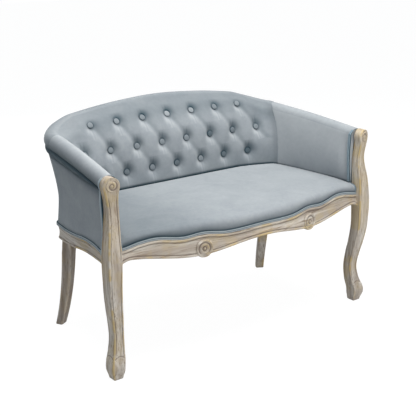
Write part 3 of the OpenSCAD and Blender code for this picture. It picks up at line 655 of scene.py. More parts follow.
def velvet(name, light, shade, cloud_scale=(9, 9, 14)):
    """Short-pile velvet: clouds where the pile was brushed, a fine pile, a pale sheen at grazing angles, and
    the light and shade that the pieces' points paint on it.
    """
    material, tree, shader = new_material(name)
    brushed = noise_at(tree, stretched_coords(tree, cloud_scale), 1.0, 5.0, 0.6, 0.5)
    crushed = noise_at(tree, stretched_coords(tree), 75.0, 3.0, 0.6)
    pile = noise_at(tree, stretched_coords(tree), 1400.0, 2.0, 0.5)
    colour = ramp_between(tree, brushed, (0.3, shade), (0.7, light))
    colour = blend_colours(tree, 0.32, colour, ramp_between(tree, crushed, (0.3, shade), (0.7, light)))
    carve_and_shade = carve_and_shade_at(tree)
    # Painted shade and light: below 0 the points' value darkens the colour towards a deep blue, and above 0
    # it lightens it towards a pale grey.
    sunk = between(tree, carve_and_shade, 0.0, -1.0)
    colour = blend_colours(tree, sunk, colour, srgb(42, 64, 74))
    painted_light = between(tree, carve_and_shade, 0.0, 1.0, high=0.8)
    colour = blend_colours(tree, painted_light, colour, srgb(222, 226, 228))
    put(tree, shader, Base_Color=colour, Roughness=0.85, Specular_IOR_Level=0.15, Sheen_Weight=0.3,
        Sheen_Roughness=0.4, Sheen_Tint=srgb(226, 232, 236),
        Normal=bumped(tree, 0.25, 0.0004, blend_colours(tree, 0.25, pile, crushed)))
    return material


def woven(name, light, shade, threads):
    """Plain weave of crossing threads, for the webbing and the lining under the seat."""
    material, tree, shader = new_material(name)
    warp, weft = [add(tree, "ShaderNodeTexWave", Vector=stretched_coords(tree), Scale=threads,
                      bands_direction=way).outputs["Fac"] for way in ("X", "Y")]
    height = calc(tree, "MAXIMUM", warp, weft)
    put(tree, shader, Base_Color=ramp_between(tree, height, (0.3, shade), (0.9, light)), Roughness=0.9,
        Normal=bumped(tree, 0.4, 0.0004, height))
    return material


OAK_UP = limed_oak("limed_oak_upright", 2)
OAK_ACROSS = limed_oak("limed_oak_across", 0)
OAK_DEEP = limed_oak("limed_oak_deep", 1)
BARE_WOOD = plain_wood("bare_beech")
VELVET = velvet("blue_grey_velvet", srgb(163, 168, 172), srgb(143, 149, 155))
CORD_VELVET = velvet("blue_grey_cord", srgb(134, 154, 166), srgb(114, 134, 146), (30, 30, 30))
# The cords' trim velvet again, painted darker as shade for the seat's front welt and the hem welts.
SHADED_TRIM_VELVET = velvet("blue_grey_welt", srgb(112, 127, 136), srgb(94, 109, 118), (30, 30, 30))
JUTE = woven("jute_webbing", srgb(190, 160, 112), srgb(140, 110, 70), 160)
LINING = woven("black_lining", srgb(66, 67, 70), srgb(34, 35, 38), 240)


# Front posts

# A post's heights, each with how far its centre swings out along the diagonal, or how wide its faces are
SWING = [(0, 1), (45, 4), (90, -11), (138, -18), (195, -10), (230, -2), (290, 7.5), (345, 9), (405, 8),
         (470, 4), (550, -5), (NECK_Z, HEAD_OUT / math.sqrt(0.5))]
SIDES = [(0, 34), (30, 46), (60, 47), (92, ANKLE_SIDE + 4), (138, ANKLE_SIDE), (214, 41), (264, 44),
         (313, 46), (DECK_H, KNEE_SIDE), (476, 42), (555, 35.5)]
POST_WIDTHS = SIDES + [(600, 40), (SCROLL_Z, SCROLL_W)]
POST_DEPTHS = SIDES + [(SCROLL_Z, SCROLL_DEPTH)]
GROOVED = [(TOE_H, 0), (88, 1), (352, 1), (366, 0.25), (392, 0.25), (408, 1), (585, 1), (610, 0)]
GROOVE_CUT = 1.9
PANEL_CROWN = 1.1


def edge_round(width):
    """Radius of the rounded edges of a face."""
    return min(5, 0.1 * width)


def carved_face(width, cut):
    """One face from edge to edge, as (place, depth, carve): bead, groove, crowned panel, groove, bead."""
    groove = min(7, 0.22 * width)
    slope = min(1.6, 0.08 * width)
    depth = ramp(cut, 0, GROOVE_CUT)
    crown = PANEL_CROWN * depth
    half = [(edge_round(width), 0, 0.9), (groove - slope, 0, 0.5), (groove - slope / 2, 0.6 * cut, -0.5),
            (groove, cut, -1), (groove + slope / 2, 0.6 * cut, -0.5), (groove + slope, 0, 0.1)]
    half += [(lerp(groove + slope, width / 2, k), -crown * math.sin(math.radians(90 * k)), 0.15)
             for k in (0.2, 0.45, 0.75)]
    half = [(e - width / 2, d, c if c > 0.2 else c * depth) for e, d, c in half]
    return half + [(0, -crown, 0.15)] + [(-e, d, c) for e, d, c in half[::-1]]


def post_width(z):
    """The post's head is a round disc, seen from the front."""
    if z > SCROLL_Z:
        return 2 * math.sqrt(max(0, SCROLL_W**2 / 4 - (z - SCROLL_Z) ** 2))
    return smooth(POST_WIDTHS, z)


def post_ring(z):
    """Section of a post: carved in front and at both sides, plain behind."""
    chamfer = 1.4 * ramp(z, 1.6, 0)
    w = post_width(z) - 2 * chamfer
    a = w / 2
    b = smooth(POST_DEPTHS, z) / 2 - chamfer
    r = edge_round(w)
    slant = math.tan(math.radians(smooth([(480, 0), (NECK_Z, SCROLL_TURN)], z)))
    cut = GROOVE_CUT * smooth(GROOVED, z)
    swing = smooth(SWING, z) * math.sqrt(0.5)

    def front(x):
        return b - (x + SCROLL_W / 2) * slant

    def toe(x, half):
        """The line of the toe cap, an arc that rises to the middle of a face."""
        return hump(z - TOE_H - TOE_ARCH * (1 - (x / half) ** 2), 1.8)

    def corner(cx, cy, start):
        angles = [math.radians(start - t) for t in (22.5, 45, 67.5)]
        return [(cx + r * math.cos(t), cy + r * math.sin(t), 1.0) for t in angles]

    def side_face(hand):
        """From back to front. The side towards the seat (hand -1) has more of the ochre wash, which also
        paints light on that side, where it lies in shade.
        """
        span = front(hand * a) + b
        face = []
        for y, d, c in carved_face(span, cut):
            if hand > 0:
                c -= toe(y, span / 2)
            elif c > 0:
                c = max(c, 0.5)
            x = hand * (a - d - TOE_CUT * toe(y, span / 2))
            face.append((x, y + (front(hand * a) - b) / 2, c))
        return face

    ring = [(x, front(x) - d - TOE_CUT * toe(x, a), c - toe(x, a)) for x, d, c in carved_face(w, cut)]
    ring += corner(a - r, front(a) - r, 90)
    ring += side_face(1)[::-1]
    ring += corner(a - r, r - b, 0)
    ring += [(x, -b, 0.0) for x in steps(a - r, r - a, 6)]
    ring += corner(r - a, r - b, -90)
    ring += side_face(-1)
    ring += corner(r - a, front(-a) - r, 180)
    return [(POST_X + swing + x, POST_Y - swing - y, z, c) for x, y, c in ring]


def volute(work, place, radius, rise, rings, sunk, hand):
    """A carved spiral that winds in to a round boss. place turns a point of the disc, as (x, y, height),
    into the piece's frame. The spiral is a set of closed rings where hand is 0."""
    angles = steps(0, 2 * math.pi, 72)[:-1]

    def on_disc(q, t, height, carve_and_shade):
        return place(radius * q * math.cos(t), radius * q * math.sin(t), height) + (carve_and_shade,)

    laid = [[on_disc(1, t, -sunk, 0.0) for t in angles]]
    for q in steps(1, 0, 30):
        ring = []
        for t in angles:
            wound = hand * t * ease(q, 0.22, 0.34) * ease(q, 1.0, 0.9)
            wave = math.cos(2 * math.pi * (rings + 0.25) * q - wound)
            height = rise * (0.62 + 0.38 * wave) * ease(q, 1.0, 0.93) + 0.3 * rise * hump(q, 0.2)
            ring.append(on_disc(q, t, height, 0.9 * wave if q < 0.97 else -0.5))
        laid.append(ring)
    lay(work, laid)


def facing(centre, turn, side):
    """Places a disc upright at centre, turned by turn degrees from straight ahead, on the given side."""
    c = math.cos(math.radians(turn))
    s = math.sin(math.radians(turn))

    def place(x, y, height):
        return side * (centre[0] + x * c + height * s), centre[1] + x * s - height * c, centre[2] + y
    return place


def front_post(side, name, node):
    """The rings stand closest at the toe line and in the round head."""
    heights = [0, 0.8, 1.6] + steps(4, 56, 13) + steps(57.5, 98, 30) + steps(102, 480, 84)
    heights += steps(484, SCROLL_Z, 38)
    head = [math.radians(a) for a in steps(8, 56, 6) + [63, 70, 76, 82, 86.5]]
    heights += [SCROLL_Z + SCROLL_W / 2 * math.sin(a) for a in head]
    work = new_work()
    lay(work, sided(side, [post_ring(z) for z in heights]))
    face_y = POST_Y - HEAD_OUT - SCROLL_DEPTH / 2 + SCROLL_W / 2 * math.tan(math.radians(SCROLL_TURN))
    place = facing((POST_X + HEAD_OUT, face_y, SCROLL_Z), SCROLL_TURN, side)
    volute(work, place, SCROLL_DISC_D / 2, SCROLL_DISC_RISE, rings=1, sunk=2, hand=side)
    finish_piece(work, name, OAK_UP, [node], 35)


front_post(1, "left_post_carved", "front_left_post")
front_post(-1, "right_post_carved", "front_right_post")


# Rear legs

STILE_TOP_Z = rim_z(1.5) - 31


def stile_at(z):
    """Centre of the stile that carries a rear leg on inside the shell."""
    if z < WAIST_Z:
        return mix((BLOCK_X, BLOCK_Y), (STILE_X, STILE_Y), ramp(z, DECK_H, DECK_H + STILE_RISE))
    head = rim(1.5)
    return mix((STILE_X, STILE_Y), (head[0] - 4, head[1] - 4), ramp(z, WAIST_Z, STILE_TOP_Z) ** FLARE)


def rear_leg_ring(z, tone_and_painted_shade):
    """Four rounded corners and the faces between them, kicked back and turned a little towards the foot."""
    kick = max(0, 1 - z / LEG_TOP_Z) ** 1.5
    turn = math.radians(REAR_TURN * ramp(z, LEG_TOP_Z, LEG_TOP_Z - 45))
    if z < LEG_TOP_Z:
        cx = BLOCK_X + 5 * ramp(z, LEG_TOP_Z, LEG_TOP_Z - 60) + REAR_SPLAY * kick**2.5
        cy = BLOCK_Y + REAR_KICK * kick
        a = (REAR_LEG_SIDE - REAR_TAPER * kick) / 2
    else:
        cx, cy = stile_at(z)
        a = lerp(REAR_LEG_SIDE, STILE_SIDE, ramp(z, DECK_H, DECK_H + STILE_RISE)) / 2
    chamfer = 1.2 * ramp(z, 1.6, 0)
    b = a - 1.8 * kick - chamfer
    a -= chamfer
    r = LEG_EDGE_R
    ring = []
    for q in range(4):
        sx = 1 if q < 2 else -1
        sy = 1 if q in (0, 3) else -1
        for i in range(5):
            t = math.radians(90 - 90 * q - 22.5 * i)
            edge = 0.9 if 0 < i < 4 else 0.5
            ring.append((sx * (a - r) + r * math.cos(t), sy * (b - r) + r * math.sin(t), edge))
        along = (b - r, r - b) if q in (0, 2) else (a - r, r - a)
        for f in (0.2, 0.5, 0.8):
            d = lerp(*along, f)
            ring.append([(a, d), (d, -b), (-a, -d), (-d, b)][q] + (0.0,))
    c = math.cos(turn)
    s = math.sin(turn)
    # The painted light and shade of the whole leg is added to its carving.
    return [(cx + x * c + y * s, cy - x * s + y * c, z, carve_and_shade + tone_and_painted_shade) for x, y, carve_and_shade in ring]


def rear_leg(side, name, node, tone_and_painted_shade):
    """The last argument is painted light and shade: it makes one leg's wood darker and the other's lighter.
    """
    heights = [0, 0.8, 1.6] + steps(8, LEG_TOP_Z, 60) + steps(345, DECK_H + STILE_RISE, 12)
    heights += steps(440, STILE_TOP_Z, 24)
    rings = [rear_leg_ring(z, tone_and_painted_shade) for z in heights]
    ringed_piece(sided(side, rings), name, OAK_UP, [node], 35)


rear_leg(1, "left_rear_leg_shaped", "rear_left_leg", 0.5)
rear_leg(-1, "right_rear_leg_shaped", "rear_right_leg", -0.65)


# Aprons

def arc(cx, cy, r, start, end, n, carve_and_shade):
    """Part of a section, as n + 1 points round (cx, cy)."""
    angles = [math.radians(a) for a in steps(start, end, n)]
    return [(cx + r * math.cos(a), cy + r * math.sin(a), carve_and_shade) for a in angles]


def moulded_front(lo, hi):
    """Section of the front apron as (proud, height, carve): bead, groove, long face, groove, bead, lip."""
    t = APRON_T
    r = 3.8
    section = [(0, lo, 0), (8, lo, 0), (16, lo, 0.2)]
    section += arc(t - r, lo + r, r, -90, 65, 8, 0.9)
    section += [(t - 3.2, lo + 8.4, -0.5), (t - 4.4, lo + 9.4, -1), (t - 3.8, lo + 10.6, -0.6),
                (t - 2.6, lo + 11.6, 0.5)]
    for k in steps(0.08, 1, 10):
        proud = t - 2.4 - 6.4 * ease(k, 0, 1)
        section.append((proud, lerp(lo + 11.6, hi - 11.6, k), 0.1 + 0.25 * hump(k - 0.2, 0.3)))
    section += [(t - 10, hi - 10.6, -0.6), (t - 10.8, hi - 9.6, -1), (t - 9.8, hi - 8.6, -0.5)]
    section += arc(t - 9.8, hi - 4.2, r, -62, 90, 8, 0.6)
    return section + [(LIP_IN, hi, 0), (LIP_IN, DECK_H, 0), (0, DECK_H, 0)]


def front_apron():
    """The serpentine front apron, with a rosette towards each end."""
    rings = []
    for x in steps(-APRON_HALF, APRON_HALF, 420):
        y = apron_face(x) + APRON_T
        rings.append([(x, y - p, z, c) for p, z, c in moulded_front(apron_edge(x), apron_top(x))])
    work = new_work()
    lay(work, rings)
    turn = math.degrees(math.atan((apron_face(ROSETTE_X + 1) - apron_face(ROSETTE_X - 1)) / 2))
    for side in (-1, 1):
        place = facing((ROSETTE_X, apron_face(ROSETTE_X) + ROSETTE_SET, ROSETTE_H), turn, side)
        volute(work, place, ROSETTE_D / 2, ROSETTE_RISE, rings=2, sunk=7, hand=0)
    finish_piece(work, "front_apron_carved", OAK_ACROSS, ["front_apron"], 35)


def moulded_side(lo, hi):
    """Section of a side apron, flatter than the front's."""
    t = APRON_T
    r = 3.4
    back = t - COVER_T - 1.2
    section = [(0, lo, 0), (8, lo, 0), (16, lo, 0.2)]
    section += arc(t - r, lo + r, r, -90, 60, 7, 0.9)
    section += [(t - 3.2, lo + 7.2, -0.7), (t - 3.6, lo + 8, -1), (t - 2.6, lo + 9, -0.3)]
    for k in steps(0.1, 1, 8):
        proud = t - 2 - 1.8 * math.sin(math.radians(180 * k))
        section.append((proud, lerp(lo + 9, hi - 11, k), 0.1))
    section += [(t - 3.2, hi - 10, -0.8), (t - 3.4, hi - 9.2, -1), (t - 2, hi - 8.4, -0.3)]
    section += arc(t - 3.6, hi - 4, 3.6, -60, 90, 7, 0.9)
    return section + [(back, hi - 0.4, 0), (back, DECK_H, 0), (0, DECK_H, 0)]


def side_apron(side, name, node):
    """It turns the back corner, where its inside stays square."""
    rings = []
    for u in steps(-0.008, 1, 170) + steps(1.01, 1.45, 26):
        ring = []
        for p, z, c in moulded_side(side_edge(u), hem_z(max(0, u))):
            x, y = on_level(u, HEM, APRON_T - p)
            if p == 0 and u > 1:
                x = HEM_REAR_X - APRON_T
                y = on_level(u, HEM, 0)[1]
            ring.append((x, y, z, c))
        rings.append(ring)
    ringed_piece(sided(side, rings), name, OAK_DEEP, [node], 35)


def rear_rail():
    half = BLOCK_X - REAR_LEG_SIDE / 2 - FIT
    low = side_edge(1) + 8
    work = new_work()
    made = bmesh.ops.create_cube(work, size=1)["verts"]
    bmesh.ops.scale(work, verts=made, vec=Vector((2 * half, APRON_T, DECK_H - low)) * MM)
    bmesh.ops.translate(work, verts=made, vec=Vector((0, RAIL_BACK_Y - APRON_T / 2, (DECK_H + low) / 2)) * MM)
    bmesh.ops.bevel(work, geom=work.edges[:], offset=1.6 * MM, offset_type="OFFSET", segments=3, profile=0.5,
                    affect="EDGES", material=-1)
    finish_piece(work, "rear_rail_eased", OAK_ACROSS, ["rear_rail"], 40)


front_apron()
side_apron(1, "left_apron_moulded", "left_apron")
side_apron(-1, "right_apron_moulded", "right_apron")
rear_rail()


# Tufted back

BUTTONS = [(PITCH * k, z) for z in (LOW_ROW_H, TOP_ROW_H) for k in range(-3, 4)]
BUTTONS += [(PITCH * (k + 0.5), MIDDLE_ROW_H) for k in range(-4, 4)]


def row_at(z):
    """0 on the low row of buttons, 1 on the middle one and 2 on the top one."""
    if z < MIDDLE_ROW_H:
        return (z - LOW_ROW_H) / (MIDDLE_ROW_H - LOW_ROW_H)
    return 1 + (z - MIDDLE_ROW_H) / (TOP_ROW_H - MIDDLE_ROW_H)


def near_line(p):
    """1 on a line that joins buttons, 0 half-way between two such lines."""
    return 1 - abs((p + 1) % 2 - 1)


def from_button(x, z):
    """Where a point of the back lies from the nearest button."""
    row = min(2, max(0, round(row_at(z))))
    if row == 1:
        k = min(3.5, max(-3.5, math.floor(x / PITCH) + 0.5))
    else:
        k = min(3, max(-3, round(x / PITCH)))
    return x - k * PITCH, z - (LOW_ROW_H, MIDDLE_ROW_H, TOP_ROW_H)[row]


def tuft(x, z):
    """Depth to which the buttons, the folds between them and short creases draw the velvet in."""
    p = 2 * x / PITCH + 0.06 * cloud(x, z, 0, 45, 3)
    q = row_at(z)
    past = max(0, -q, q - 2)
    fade = ramp(abs(x), INNER_REAR_X, 3.5 * PITCH + 10)
    held = min(2, max(0, q))
    a = near_line(p + held)
    b = near_line(p - held)
    dx, dz = from_button(x, z)
    away = math.hypot(dx, dz)
    turn = math.degrees(math.atan2(dz, dx))
    folds = sum(hump((turn - lie + 180) % 360 - 180, 8) for lie in CREASES_LIE)
    creases = folds * hump(away - DIMPLE_R, 11)
    line = ease((a**4 + b**4) ** 0.25, 0.1, 1) ** 1.3 * ease(past, 0.7, 0)
    drawn = FOLD_DEPTH * line + CREASE_DEPTH * creases
    return fade * drawn + (TUFT_DEPTH - FOLD_DEPTH) * hump(away, DIMPLE_R)


def tuft_light_and_shade(x, z):
    """Painted light and shade on the tufts: dark over a button and to its right, with a dark ring round it,
    light under it and to its left, and painted shade over the whole back, deepest low down on the right.
    """
    dx, dz = from_button(x, z)
    over = hump(math.hypot(dx - 10, (dz - 14) / 1.15), 19)
    under = hump(math.hypot(dx + 12, dz + 14), 12)
    edge = hump(math.hypot(dx, dz) - BUTTON_D / 2 - 1, 2.6)
    # Painted light streaks that run down from a button, and painted dark ones that rise from it
    streak = (hump(dx + 4, 3.5) + 0.6 * hump(dx - 6, 3)) * ease(-dz, 12, 24) * ease(-dz, 62, 34)
    risen = (hump(dx + 8, 2.8) + hump(dx - 4, 2.8)) * ease(dz, 12, 22) * ease(dz, 50, 26)
    # Painted light and shade on the two flanks of the folds between two rows
    held = ease(z, LOW_ROW_H - 6, LOW_ROW_H + 14) * ease(z, TOP_ROW_H + 4, TOP_ROW_H - 16)
    along = abs(FOLD_LIE.x * dx - FOLD_LIE.y * dz)
    across = FOLD_LIE.y * dx + FOLD_LIE.x * dz
    fold = (hump(across + 8, 8) - 1.1 * hump(across - 8, 9)) * ease(along, 10, 26) * held
    base = 0.06 + 0.06 * ease(x, -440, -260) + 0.16 * ease(x, -60, 430) * ramp(z, TOP_ROW_H, SEAT_H)
    return 0.42 * under + 0.17 * streak + 0.13 * fold - 0.5 * over - 0.24 * edge - 0.13 * risen - base


def chin_fade(z, top):
    """The tufts run out towards the crest."""
    return 1 - ease(z, top - 26, top + 2)


def back_place(u, z):
    """Point of the inside back before it is tufted. u runs from the arm's seam (1) to the middle (3)."""
    if u >= 2:
        x = CORNER_X * (3 - u)
        return x, inner_y(x, z)
    return tuple(corner_face(u - 1, z))


def foot_shade(x, z):
    """Darkening of the covers where they go down behind the seat."""
    up = z - join_z(x)
    return 0.24 * ramp(up, 100, 0) ** 1.4 + 0.75 * ramp(up, 11, 1)


def foot_pull(x, z):
    """How far the covers are drawn in there."""
    return JOIN_GAP * ramp(z - join_z(x), 14, -6) ** 2


def seam_line(run):
    """How far the seam beside the arm draws the covers in, run millimetres away from it."""
    return SEAM_PULL * hump(run, 5)


def crest_shade(x):
    """Shade painted over the crest roll, less at the end to the sitter's right."""
    return lerp(0.2, 0.36, ease(x, -420, -220))


def tufted_face(u, side, pull):
    """From the foot up the tufted face to the crest."""
    top = chin_z(u)
    n = rim_out(face_u(u))
    soft = 0.9 * ease(u, 1, 1.12)
    loose_z = top - lerp(70, 24, ease(u, 1, 2))
    face = []
    for h in steps(0, 1, 124):
        z = lerp(PAD_FOOT_Z, top, h)
        x, y = back_place(u, z)
        depth = tuft(side * x, z) * lerp(1, chin_fade(z, top), 0.85) + soft * cloud(side * x, 0, z, 70, 5)
        foot = foot_pull(x, z) + pull
        shade = tuft_light_and_shade(side * x, z) * math.sqrt(chin_fade(z, top)) - foot_shade(x, z) - 0.03 * pull
        shade -= crest_shade(side * x) * ease(z, top - 70, top)
        face.append((x + n[0] * foot, y + depth + n[1] * foot, z, max(-1, shade), u > 1 and z > loose_z))
    return face


def crest(u, side, foot, pull):
    """From the face's last point, foot, over the crest roll to its seam."""
    c = rim(face_u(u))
    n = rim_out(face_u(u))
    a = (foot[0] - c[0]) * n[0] + (foot[1] - c[1]) * n[1]
    b = foot[2] - rim_z(face_u(u))
    touch = math.degrees(math.acos(min(1, roll_r(u) / math.hypot(a, b))))
    first = 180 + math.degrees(math.atan2(-b, -a)) - max(4, touch)
    last = seam_t(u)
    start = Vector(over_roll(u, first, pull))
    shade = crest_shade(side * foot[0])
    ring = [tuple(Vector(foot).lerp(start, k)) + (-shade, u > 1) for k in steps(0.125, 0.875, 6)]
    for k, t in enumerate(steps(first, last, 36)):
        light = 0.16 * hump(t - 104, 15) - lerp(shade, 0.7, ramp(t, 60, last) ** 1.5)
        ring.append(over_roll(u, t, pull) + (light, u > 1 and k < 16))
    return ring


def roll_flap(u):
    """The roll's cover runs down to the seam that shows outside, and turns in there."""
    flap = []
    # The flap is painted in deep shade, to full shade at the seam.
    for k in steps(0.15, 1, 5):
        z = lerp(seam_z(u), shown_seam_z(u), k)
        x, y = outer(u, z, -1.2 - 4 * math.sin(math.pi * k))
        flap.append((x, max(y, RIM_FRONT_Y), z, -0.93 - 0.07 * k))
    x, y = outer(u, shown_seam_z(u) + 0.5, 3)
    flap.append((x, max(y, RIM_FRONT_Y), shown_seam_z(u) + 1.5, -1.0))
    return flap


def rail_slot(u, thickness, room):
    """Inside the roll the padding leaves a slot for the rail that carries it."""
    c = rim(u)
    n = rim_out(u)
    half = thickness / 2 + room
    section = [(half + 4, 2 - SEAM_DROP), (half, 4 - SEAM_DROP), (half, RAIL_UP + room),
               (-half, RAIL_UP + room), (-half, -CHIN_DROP)]
    return [(c[0] + n[0] * across, c[1] + n[1] * across, rim_z(u) + up) for across, up in section]


def behind_face(u):
    """The padding's inner side, from the crest down to the foot."""
    n = rim_out(face_u(u))
    ring = []
    for h in (0.85, 0.6, 0.35, 0.12, 0):
        z = lerp(PAD_FOOT_Z, chin_z(u), h)
        x, y = back_place(u, z)
        behind = lerp(26, 14, min(1, abs(x) / INNER_REAR_X) ** 5)
        ring.append((x + n[0] * behind, y + n[1] * behind, z))
    return ring


def back_ring(u, side):
    """Once round the padded back: up its face, over the crest, and down inside."""
    pull = seam_line((u - 1) * (SEAM_RUN + INNER_BEND))
    ring = tufted_face(u, side, pull)
    ring += crest(u, side, ring[-1][:3], pull)
    return ring + roll_flap(u) + rail_slot(u, RAIL_T, 2 * FIT) + behind_face(u)


def soften(work, made, turns):
    """Evens out the tagged points of a cover."""
    loose = [v for v in made if v.tag]
    for _ in range(turns):
        bmesh.ops.smooth_vert(work, verts=loose, factor=0.5, use_axis_x=True, use_axis_y=True,
                              use_axis_z=True)


def tufted_back():
    """Makes the cover and gives back its surface, on which the buttons are set."""
    us = steps(1, 1.04, 8)[:-1] + steps(1.04, 2, 70)[:-1] + steps(2, 3, 160)
    rings = [back_ring(u, 1) for u in us] + mirrored([back_ring(u, -1) for u in us[-2::-1]])
    work = new_work()
    made = lay(work, rings)
    soften(work, made, 60)
    surface = BVHTree.FromBMesh(work)
    piece = finish_piece(work, "tufted_back_cover", VELVET, ["inside_back", "back_roll"], 60)
    return surface


def hit_y(surface, x, z):
    """Where a line from the front meets the cover."""
    place = surface.ray_cast(Vector((x, -OVERALL_D, z)) * MM, Vector((0, 1, 0)))[0]
    return place.y / MM


def button_seat(surface, x, z):
    """Place and turn of a button, which lies in its dimple."""
    e = BUTTON_D / 2
    left, right, low, high = [hit_y(surface, x + dx, z + dz) for dx, dz in ((-e, 0), (e, 0), (0, -e), (0, e))]
    tip = math.atan((high - low) / BUTTON_D)
    turn = math.atan((right - left) / BUTTON_D)
    place = Matrix.Translation(Vector((x, (left + right + low + high) / 4 - BUTTON_LIFT, z)))
    return place @ Matrix.Rotation(turn, 4, "Z") @ Matrix.Rotation(math.pi / 2 - tip, 4, "X")


def button_profile():
    """From its back over the rim to the crown, as (radius, height)."""
    r = BUTTON_D / 2
    profile = [(0.3 * r, -4), (0.82 * r, -2), (0.97 * r, -0.6), (r, 0.6), (0.97 * r, 1.6), (0.9 * r, 2.6)]
    crown = [math.radians(a) for a in (38, 52, 66, 78, 90)]
    return profile + [(r * math.cos(a), 1.6 + 0.3 * r * math.sin(a)) for a in crown]


def covered_buttons(surface):
    """Each button is pinched a little at its rim and has a random colour of its own, under painted shade that
    is deeper on the two lower rows and dark round the rim.
    """
    r = BUTTON_D / 2
    work = new_work()
    for x, z in BUTTONS:
        seat = button_seat(surface, x, z)
        tone_and_painted_shade = 0.7 * cloud(x, z, 0, 31, 5) - 0.26 - 0.2 * (z < TOP_ROW_H)

        def point(d, h, t):
            pinched = d * (1 + 0.012 * math.sin(9 * t) * ramp(d, 0, r))
            place = seat @ Vector((pinched * math.cos(t), pinched * math.sin(t), h))
            return tuple(place) + (tone_and_painted_shade - 0.6 * ramp(d, 0.8 * r, 0.97 * r),)

        around = steps(0, 2 * math.pi, 32)[:-1]
        lay(work, [[point(d, h, t) for t in around] for d, h in button_profile()])
    finish_piece(work, "covered_buttons", VELVET, ["back_buttons"], 60)


covered_buttons(tufted_back())


# Arms

def arm_ring(s, side):
    """From the foot up the inside of the arm, over the roll to its outside seam, and back down inside."""
    pull = seam_line((1 - s) * (SEAM_Y - OUTER_FRONT_Y))
    ring = []
    foot = arm_face(s, 0)
    # The foot, under the seat, is painted in shade.
    for z in steps(PAD_FOOT_Z, SEAT_H, 6)[:-1]:
        ring.append((foot[0] + pull + foot_pull(foot[0], z), foot[1], z, -0.7))
    for h in steps(0, 1, 70):
        x, y, z = arm_face(s, h)
        soft = 0.9 * cloud(x, y, z, 80, 9) * ramp(h, 0, 0.15) * ease(s, 1, 0.9)
        shade = 0.2 * max(0, side) - foot_shade(x, z) - 0.03 * pull
        ring.append((x - soft + pull + foot_pull(x, z), y, z, max(-1, shade), s < 1 and h > 0.86))
    last = seam_t(s)
    top_light = 0.1 if side > 0 else 0.34
    for k, t in enumerate(steps(180 - JOIN_TURN - 5, last, 44)):
        shade = top_light * hump(t - 108, 32) - 0.93 * ramp(t, 66, last) ** 1.5
        ring.append(over_roll(s, t, pull) + (shade, s < 1 and k < 14))
    ring += roll_flap(s) + rail_slot(s, BOARD_T, FIT)
    cx, cy = rim(s)
    for h in (0.8, 0.5, 0.2, 0):
        x, y, z = arm_face(s, h)
        ring.append((lerp(x, cx, 0.5), lerp(y, cy, h), min(z, rim_z(s) - CHIN_DROP)))
    ring.append((foot[0] + 12, foot[1], PAD_FOOT_Z))
    return ring


def upholstered_arm(side, name, nodes):
    work = new_work()
    rings = [arm_ring(s, side) for s in steps(0, 0.99, 130) + [0.9935, 0.997, 1.0]]
    soften(work, lay(work, sided(side, rings)), 24)
    piece = finish_piece(work, name, VELVET, nodes, 60)


upholstered_arm(1, "left_arm_cover", ["left_inside_arm", "left_arm_roll"])
upholstered_arm(-1, "right_arm_cover", ["right_inside_arm", "right_arm_roll"])


# Seat

def seat_back_y(x):
    """Where the seat ends at the inside back, the bend beside it, or the inside arm."""
    if abs(x) < CORNER_X:
        return inner_y(x, SEAT_H) - FIT
    if abs(x) + FIT < arm_foot_x(SEAM_Y):
        return corner_y(abs(x) + FIT, SEAT_H) - FIT
    return solve(arm_foot_x, abs(x) + FIT, OUTER_FRONT_Y, SEAM_Y) - FIT


# Share of the seat's depth, from the front, that its rounded nose takes
NOSE_V = 0.05


def seat_ring(x):
    """From the foot up the front of the seat, over its nose and crown to the back, and down inside."""
    front = apron_face(x) + APRON_T - LIP_IN + FIT
    back = seat_back_y(x)
    low = apron_top(x) + WELT_W
    rim_x = ramp(abs(x), SEAT_HALF, SEAT_HALF - SEAT_SIDE_ROUND)

    def top(v):
        arch = 1 - 0.55 * ramp(v, 0.5, 0) ** 2
        edge = math.sqrt(ramp(v, 1, 0.972) * rim_x)
        return SEAT_H - SEAT_ROUND * (1 - edge) + SEAT_CROWN * seat_ends(x) * arch

    # Painted shade: full at the foot of the seat's front, and deepening towards the end at the sitter's
    # right.
    ring = [(x, front, SEAT_FOOT_Z), (x, front, low, -1.0)]
    rise = top(NOSE_V) - low
    arm_shade = 0.4 * ease(x, -60, -430)
    for a in steps(6, 90, 18):
        t = math.radians(a)
        y = front - SEAT_BULGE * math.sin(2 * t) + SEAT_NOSE * (1 - math.cos(t))
        # Painted shade darkens the lower front of the nose, above the welt.
        ring.append((x, y, low + rise * math.sin(t), -arm_shade - 0.5 * ramp(a, 42, 4) ** 1.5))
    for v in steps(0.056, 0.93, 96) + steps(0.935, 1, 14):
        y = lerp(front + SEAT_NOSE, back, (v - NOSE_V) / (1 - NOSE_V))
        soft = 0.9 * cloud(x, y, 0, 95, 7) * ramp(v, 1, 0.9) * rim_x
        # Painted shade along the seat's back edge and at its ends, where it meets the covers round it.
        deep = max(ramp(v, 0.978, 0.997), ramp(rim_x, 0.35, 0))
        ring.append((x, y, top(v) + soft, -arm_shade - 0.7 * deep))
    return ring + [(x, back, SEAT_H - 30), (x, back, SEAT_FOOT_Z), (x, (front + back) / 2, SEAT_FOOT_Z)]


def tight_seat():
    """The rings stand closest at both ends, where the seat rounds down."""
    end = SEAT_HALF - SEAT_SIDE_ROUND - 2
    xs = steps(-SEAT_HALF, -end, 14)[:-1] + steps(-end, end, 240) + steps(end, SEAT_HALF, 14)[1:]
    piece = ringed_piece([seat_ring(x) for x in xs], "seat_cover", VELVET, ["seat_cushion"], 60)


tight_seat()


# Outside covers

# The arm's covers and the back's meet in the middle of the corner
TO_CORNER = steps(1.02, 1.4995, 24)
FROM_CORNER = steps(1.5005, 2, 24)


